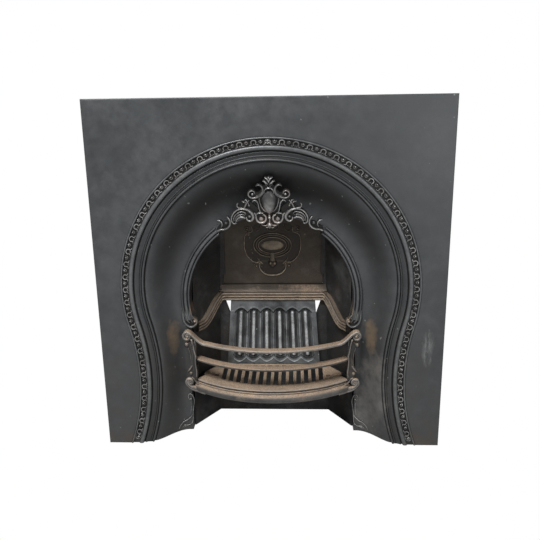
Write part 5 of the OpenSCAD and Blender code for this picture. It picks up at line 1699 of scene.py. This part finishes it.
# %% [markdown]
# ## The front fret
# The fret keeps the coals in and lifts off. Its top bar bows across the fire, lifts in a swan neck at
# each end and winds up into a volute. A curve with a bevel would give one thickness and twist in the
# volute. So the bar is a ribbon: a path seen from the front, with its own depth at each point.

# %% Fret sizes and its ribbons
BOW_R, BOW_REACH = 349, 22
BOW_Y = BOW_R - BOW_REACH
TOP_BAR_Z, BAR_W, BAR_T = 293.5, 26, 7.5
APRON_Z, RIM_D = 176, 36
STILE_D, STILE_T = 48, 8
NECK_X, CURL_D = 186, STILE_D - 7
LOWER_X, LOWER_Z = 237, 171
VOLUTE_X, VOLUTE_Z, VOLUTE_R = 239.5, 311.5, 16


def bow_front(x):
    return BOW_Y - math.sqrt(BOW_R ** 2 - x ** 2)


def ribbon(shape, path, thickness, y_front, depth, turn=1):
    """A flat strip on edge: the path is its outer side, and it is thick towards the other side."""
    path = np.array(path, float)
    tangent = np.gradient(path, axis=0)
    tangent /= np.linalg.norm(tangent, axis=1)[:, None] + 1e-9
    inward = np.stack([tangent[:, 1], -tangent[:, 0]], 1) * turn
    rings, relief = [], []
    for i, point in enumerate(path):
        t = i / (len(path) - 1)
        thick, wide = along(thickness, t), along(depth, t)
        r = min(thick, wide) * 0.42
        section = []
        corners = [(r, r, 180), (thick - r, r, 270), (thick - r, wide - r, 0), (r, wide - r, 90)]
        for corner_d, corner_y, start in corners:
            for a in np.radians(np.linspace(start, start + 90, 4)):
                d, y = corner_d + r * math.cos(a), corner_y + r * math.sin(a)
                # Relief: the front edge is worn bright with a painted highlight, and the groove's
                # bottom gets painted shade.
                section.append((d, y, 1.0 if y < 0.5 * r and d < thick * 0.8 else 0.15))
            if start == 180:
                groove = [(0.42, 0.2, 0.3), (0.5, 1.1, -0.9), (0.58, 0.2, 0.6)]
                section += [(thick * part, y, high) for part, y, high in groove]
        ring = []
        for d, y, high in section:
            x, z = point + inward[i] * d
            ring.append((x, y_front[i] + y, z))
            relief.append(high)
        rings.append(ring)
    add_tube(shape, rings, relief)


def top_bar(shape):
    """From one volute's eye over the fire to the other's."""
    straight = [(x, TOP_BAR_Z) for x in np.linspace(0, NECK_X, 40)]
    rise = VOLUTE_Z + VOLUTE_R - TOP_BAR_Z
    neck = []
    for s in np.linspace(0.06, 0.97, 16):
        lift = s ** 2.2 * (3 - 2 * s)
        neck.append((NECK_X + (VOLUTE_X - NECK_X) * s, TOP_BAR_Z + rise * lift))
    curl = [tuple(p) for p in spiral(VOLUTE_X, VOLUTE_Z, VOLUTE_R, 4.2, 90, -470, 56)]
    half = straight + neck + curl
    fronts = [bow_front(x) for x, _ in straight]
    last = fronts[-1]
    fronts += [last + (CURL_D - last) * s for s in np.linspace(0.06, 1, 16)]
    fronts += [CURL_D + 3 * s for s in np.linspace(0, 1, 56)]
    path = [(-x, z) for x, z in half[::-1]] + half[1:]
    y_front = fronts[::-1] + fronts[1:]
    n = len(path)
    share = [abs(2 * i / (n - 1) - 1) for i in range(n)]
    depths = np.interp(share, [0.45, 0.62, 1], [BAR_W, 21, 12])
    thick = np.interp(share, [0.36, 0.5, 0.75, 1], [BAR_T, 7, 5.8, 4.4])
    ribbon(shape, path, thick, y_front, depths)


# %% [markdown]
# ### Apron and end pieces
# The apron below the bars is a moulding that bows with them, so one section is revolved about the
# bow's centre. The end pieces are flat plates with ridges and knobs, and their lower scrolls are
# ribbons that carry the apron's nose on.

# %% Apron and end pieces
def apron_profile():
    """Section of the apron: distance from the bow's centre, height, relief."""
    r, z = BOW_R, APRON_Z
    rim = [(r - RIM_D, z, 0.2), (r - 10, z + 0.01, 0.3), (r - 1.6, z, 0.9), (r - 0.3, z - 0.9, 1),
           (r, z - 2.2, 0.8)]
    neck = [(r - 1.2, z - 3.8, 0.1), (r - 4.5, z - 5.6, 0), (r - 5.6, z - 7.6, 0),
            (r - 4, z - 8.6, 0.1)]
    fillet = [(r - 1.8, z - 8.7, 0.8), (r - 0.8, z - 9.6, 1), (r - 1.2, z - 10.8, 0.6),
              (r - 4.4, z - 11.6, 0), (r - 5.2, z - 12.6, 0)]
    bulge = [
        (345 + 13.5 * math.cos(a), 151 + 12.3 * math.sin(a), 0.25 + 0.75 * max(0, math.sin(-a)) ** 2)
        for a in np.radians(np.linspace(76, -78, 16))
    ]
    back = [(341, 138.1, 0.5), (334, 138.6, 0.1), (332, 141, 0), (336, 150, 0), (336, 165, 0),
            (r - RIM_D, 168.4, 0)]
    return rim + neck + fillet + bulge + back


def apron(shape):
    profile = apron_profile()
    rings, relief = [], []
    for a in np.radians(np.linspace(-39.2, 39.2, 97)):
        rings.append([(r * math.sin(a), BOW_Y - r * math.cos(a), z) for r, z, _ in profile])
        relief.extend(high for _, _, high in profile)
    add_tube(shape, rings, relief)


on_stile = at_depth(STILE_D)


def stile_plate(shape):
    """The end piece's plate, with a round ground behind each scroll."""
    outer = [(226, 300), (233, 293), (241, 290.5), (248, 288), (250, 282), (245.5, 277), (239, 275),
             (235.5, 262), (233.5, 246), (233.5, 230), (236, 218), (241.5, 210), (243.5, 204),
             (240.5, 198), (237, 193), (238, 186)]
    inner = [(222, 170), (215, 184), (214.5, 204), (217, 222), (219, 238), (216.5, 254), (216, 270),
             (214, 285), (212, 300)]
    outline = list(smooth(outer, 4)) + list(smooth(inner, 4))
    slab(shape, outline, STILE_D, STILE_D + STILE_T, -0.55, 1.2)
    for x, z, r in [(VOLUTE_X, VOLUTE_Z, 14), (LOWER_X, LOWER_Z, 12)]:
        slab(shape, spiral(x, z, r, r, 0, 345, 24), STILE_D, STILE_D + STILE_T, -0.8, 1)


def stile_ridges(shape):
    """Ridges along both edges, dark between them."""
    ridge(
        shape, smooth([(238, 276), (233.6, 262), (231.6, 246), (231.6, 230), (234, 218),
                       (238.6, 210.5)]),
        [3, 3.4, 3.4, 3], [3, 3.2, 3.2, 3], on_stile, shine=0.5,
    )
    ridge(
        shape, smooth([(224, 292), (222.6, 276), (220.4, 262), (218, 251), (219.6, 238), (219, 222),
                       (217, 205), (218, 187)]),
        [4, 5, 6.4, 6.6, 4, 4.2, 5, 4], [4, 4.4, 4.6, 4.4, 3, 3.2, 3.6, 3], on_stile, shine=0.9,
    )
    ridge(
        shape, smooth([(226.6, 272), (227.4, 250), (227.2, 228), (226, 206)]),
        [2, 2.8, 2.4], [1.6, 2, 1.6], on_stile, shine=0.2,
    )


def stile_buds(shape):
    """The upper bud, the lower leaf, and the knob between it and the lower scroll."""
    ball(shape, 242, 285.5, 6.2, on_stile, 6, 2, shine=0.5)
    ridge(
        shape, smooth([(229, 222), (233, 215), (238, 208.6), (242, 203.6)]),
        [2.6, 5, 5.4, 2], [2.4, 4.6, 5, 2], on_stile, 2,
    )
    ball(shape, 233.5, 197.5, 5, on_stile, 4.4, 2, shine=0.5)


def neck_fold(shape):
    """The eye of the volute, and the fold that hangs below the bar's neck."""
    ball(shape, VOLUTE_X - 1, VOLUTE_Z - 0.5, 4.4, at_depth(STILE_D - 2), 6, 4)
    ridge(
        shape, smooth([(230, 302), (226.8, 299), (226, 291), (227.5, 283.5)]),
        [5, 7.4, 6, 2.4], [4.6, 7, 5.6, 2.4], on_stile, 3,
    )
    ridge(
        shape, smooth([(219, 301), (217.8, 293), (217, 284)]),
        [4, 5, 3], [4, 5, 3], on_stile, 3, shine=0.8,
    )


def lower_scroll(shape):
    """The apron's nose narrows, rises and winds up; its bead line curls inside the scroll."""
    nose = [(192, 138.6), (212, 138.4), (227, 141.5), (239, 148), (248.4, 158.5)]
    low = [tuple(p) for p in smooth(nose, 8)]
    low += [tuple(p) for p in spiral(LOWER_X, LOWER_Z, 16, 4, -42, 420, 54)]
    nose_r = BOW_R + 9.5
    fronts = [min(BOW_Y - math.sqrt(nose_r ** 2 - min(x, 240) ** 2) + 1.5, 43) for x, _ in low]
    ribbon(shape, low, [20, 18, 14.6, 12, 9.6, 8, 6.8, 5.6, 4.4], fronts, [14, 14, 13, 12, 11, 10], -1)
    ball(shape, LOWER_X - 0.6, LOWER_Z, 3.4, at_depth(STILE_D - 1), 4, 4, shine=0.3)
    ridge(
        shape, smooth([(205, 161.5), (214, 166.5), (221, 173.5), (226, 181.5), (232, 186)]),
        [3.4, 3.6, 3.2, 2.4], [4.4, 5, 4, 3], at_depth(STILE_D - 1), 3, shine=0.8,
    )


def stile_back(shape):
    """Behind: the tongue, its hook and the lug of the middle bar."""
    box(shape, (226, STILE_D + STILE_T - 1, 206), (232, 99, 222))
    box(shape, (226, 89, 183), (232, 99, 222))
    box(shape, (222.3, STILE_D + STILE_T - 1, 228.25), (227.3, 90, 244.25))


def fret_end():
    shape = Shape()
    for part in [stile_plate, stile_ridges, stile_buds, neck_fold, lower_scroll, stile_back]:
        part(shape)
    return shape.mirrored()


fret_shape = fret_end()
top_bar(fret_shape)
apron(fret_shape)
make_piece("fret_casting", fret_shape, "fret", WORN, ["fret_frame"])
make_softened("fret_bar", "fret_middle_bar", "fret", WORN, 0.8)

# %% [markdown]
# ## Plain pieces
# Grate, back plate, flap frame, hood, rests and sockets are plain castings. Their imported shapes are
# right already, but no cast edge is sharp, so a small bevel softens them and catches the light.
# Screws, bolts, nuts, pins and rivets are too small for that and only get their metal.

# %% Plain castings and fastenings
make_softened("grate_casting", "bottom_grate", "grate", RUSTED, 1.0)
for node in ["back_plate", "flap_frame", "hood_plate", "grate_rest_left", "grate_rest_right"]:
    make_softened(node + "_soft", node, "casting", SOOTED, 0.6)
for node in ["fret_socket_left", "fret_socket_right"]:
    make_softened(node + "_soft", node, "casting", BLACKED, 0.6)
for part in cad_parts.values():
    part.data.materials.clear()
    part.data.materials.append(STEEL)

# %% [markdown]
# ## Studio
# White surroundings, with one large soft light from the upper left and a weaker one from the right.
# Soft lights suit dark iron: small ones would show as hard spots on it. The white is for the camera
# only, so that it doesn't wash out the black castings.

# %% Floor, lights and world
def white_for_camera(name, colour):
    """A pale surface that the camera sees as plain white."""
    material = bpy.data.materials.new(name)
    material.use_nodes = True
    material.node_tree.nodes.clear()
    tree = Tree(material.node_tree)
    seen = tree.add("ShaderNodeLightPath").outputs["Is Camera Ray"]
    matt = tree.add("ShaderNodeBsdfDiffuse", {"Color": (*colour, 1)})
    white = tree.add("ShaderNodeEmission", {"Color": (1, 1, 1, 1), "Strength": 1.0})
    both = tree.add("ShaderNodeMixShader", {0: seen, 1: matt.outputs[0], 2: white.outputs[0]})
    tree.add("ShaderNodeOutputMaterial", {"Surface": both.outputs[0]})
    return material


def soft_light(name, place, target, width, watts):
    data = bpy.data.lights.new(name, "AREA")
    data.energy = watts
    data.size = width
    lamp = bpy.data.objects.new(name, data)
    bpy.context.scene.collection.objects.link(lamp)
    lamp.location = place
    lamp.rotation_euler = (Vector(target) - lamp.location).to_track_quat("-Z", "Y").to_euler()


floor_mesh = bpy.data.meshes.new("floor")
floor_mesh.from_pydata([(-6, -6, 0), (6, -6, 0), (6, 6, 0), (-6, 6, 0)], [], [(0, 1, 2, 3)])
floor_mesh.materials.append(white_for_camera("studio floor", (0.45, 0.45, 0.45)))
floor = bpy.data.objects.new("floor", floor_mesh)
floor.location.z = -0.0005
bpy.context.scene.collection.objects.link(floor)

scene = bpy.context.scene
world = bpy.data.worlds.new("studio")
scene.world = world
world.use_nodes = True
world.node_tree.nodes.clear()
sky = Tree(world.node_tree)
camera_ray = sky.add("ShaderNodeLightPath").outputs["Is Camera Ray"]
dim = sky.add("ShaderNodeBackground", {"Color": (1, 1, 1, 1), "Strength": 0.17})
plain = sky.add("ShaderNodeBackground", {"Color": (1, 1, 1, 1), "Strength": 1.0})
chosen = sky.add("ShaderNodeMixShader", {0: camera_ray, 1: dim.outputs[0], 2: plain.outputs[0]})
sky.add("ShaderNodeOutputWorld", {"Surface": chosen.outputs[0]})
soft_light("key", (-0.8, -1.9, 3.1), (0, 0, 0.5), 1.3, 112)
soft_light("fill", (1.5, -2.6, 1.1), (0, 0, 0.4), 1.4, 16)
scene.view_settings.view_transform = "Standard"

# %% [markdown]
# ### Camera
# A camera placed by eye never fits a photograph. This one was solved: the plate's four corners and
# the floor line give its place, its turn and its focal length, the last in pixels of the photograph.

# %% Camera
PHOTO_W, SENSOR_W = 540, 36


def place_camera():
    """The photographer stood in front, with the lens near the insert's top, and aimed down."""
    focal, x, y, z = 617.8067, 0.0734893, -1.6915298, 0.9406527
    yaw, pitch, roll = -0.0452978, -0.2591549, -0.0147800
    forward = Vector((math.sin(yaw) * math.cos(pitch), math.cos(yaw) * math.cos(pitch),
                      math.sin(pitch)))
    level = Vector((math.cos(yaw), -math.sin(yaw), 0))
    upright = level.cross(forward)
    right = math.cos(roll) * level + math.sin(roll) * upright
    up = -math.sin(roll) * level + math.cos(roll) * upright
    data = bpy.data.cameras.new("camera")
    data.sensor_width = SENSOR_W
    data.lens = SENSOR_W * focal / PHOTO_W
    camera = bpy.data.objects.new("camera", data)
    scene.collection.objects.link(camera)
    camera.matrix_world = Matrix((
        (right.x, up.x, -forward.x, x),
        (right.y, up.y, -forward.y, y),
        (right.z, up.z, -forward.z, z),
        (0, 0, 0, 1),
    ))
    scene.camera = camera


place_camera()
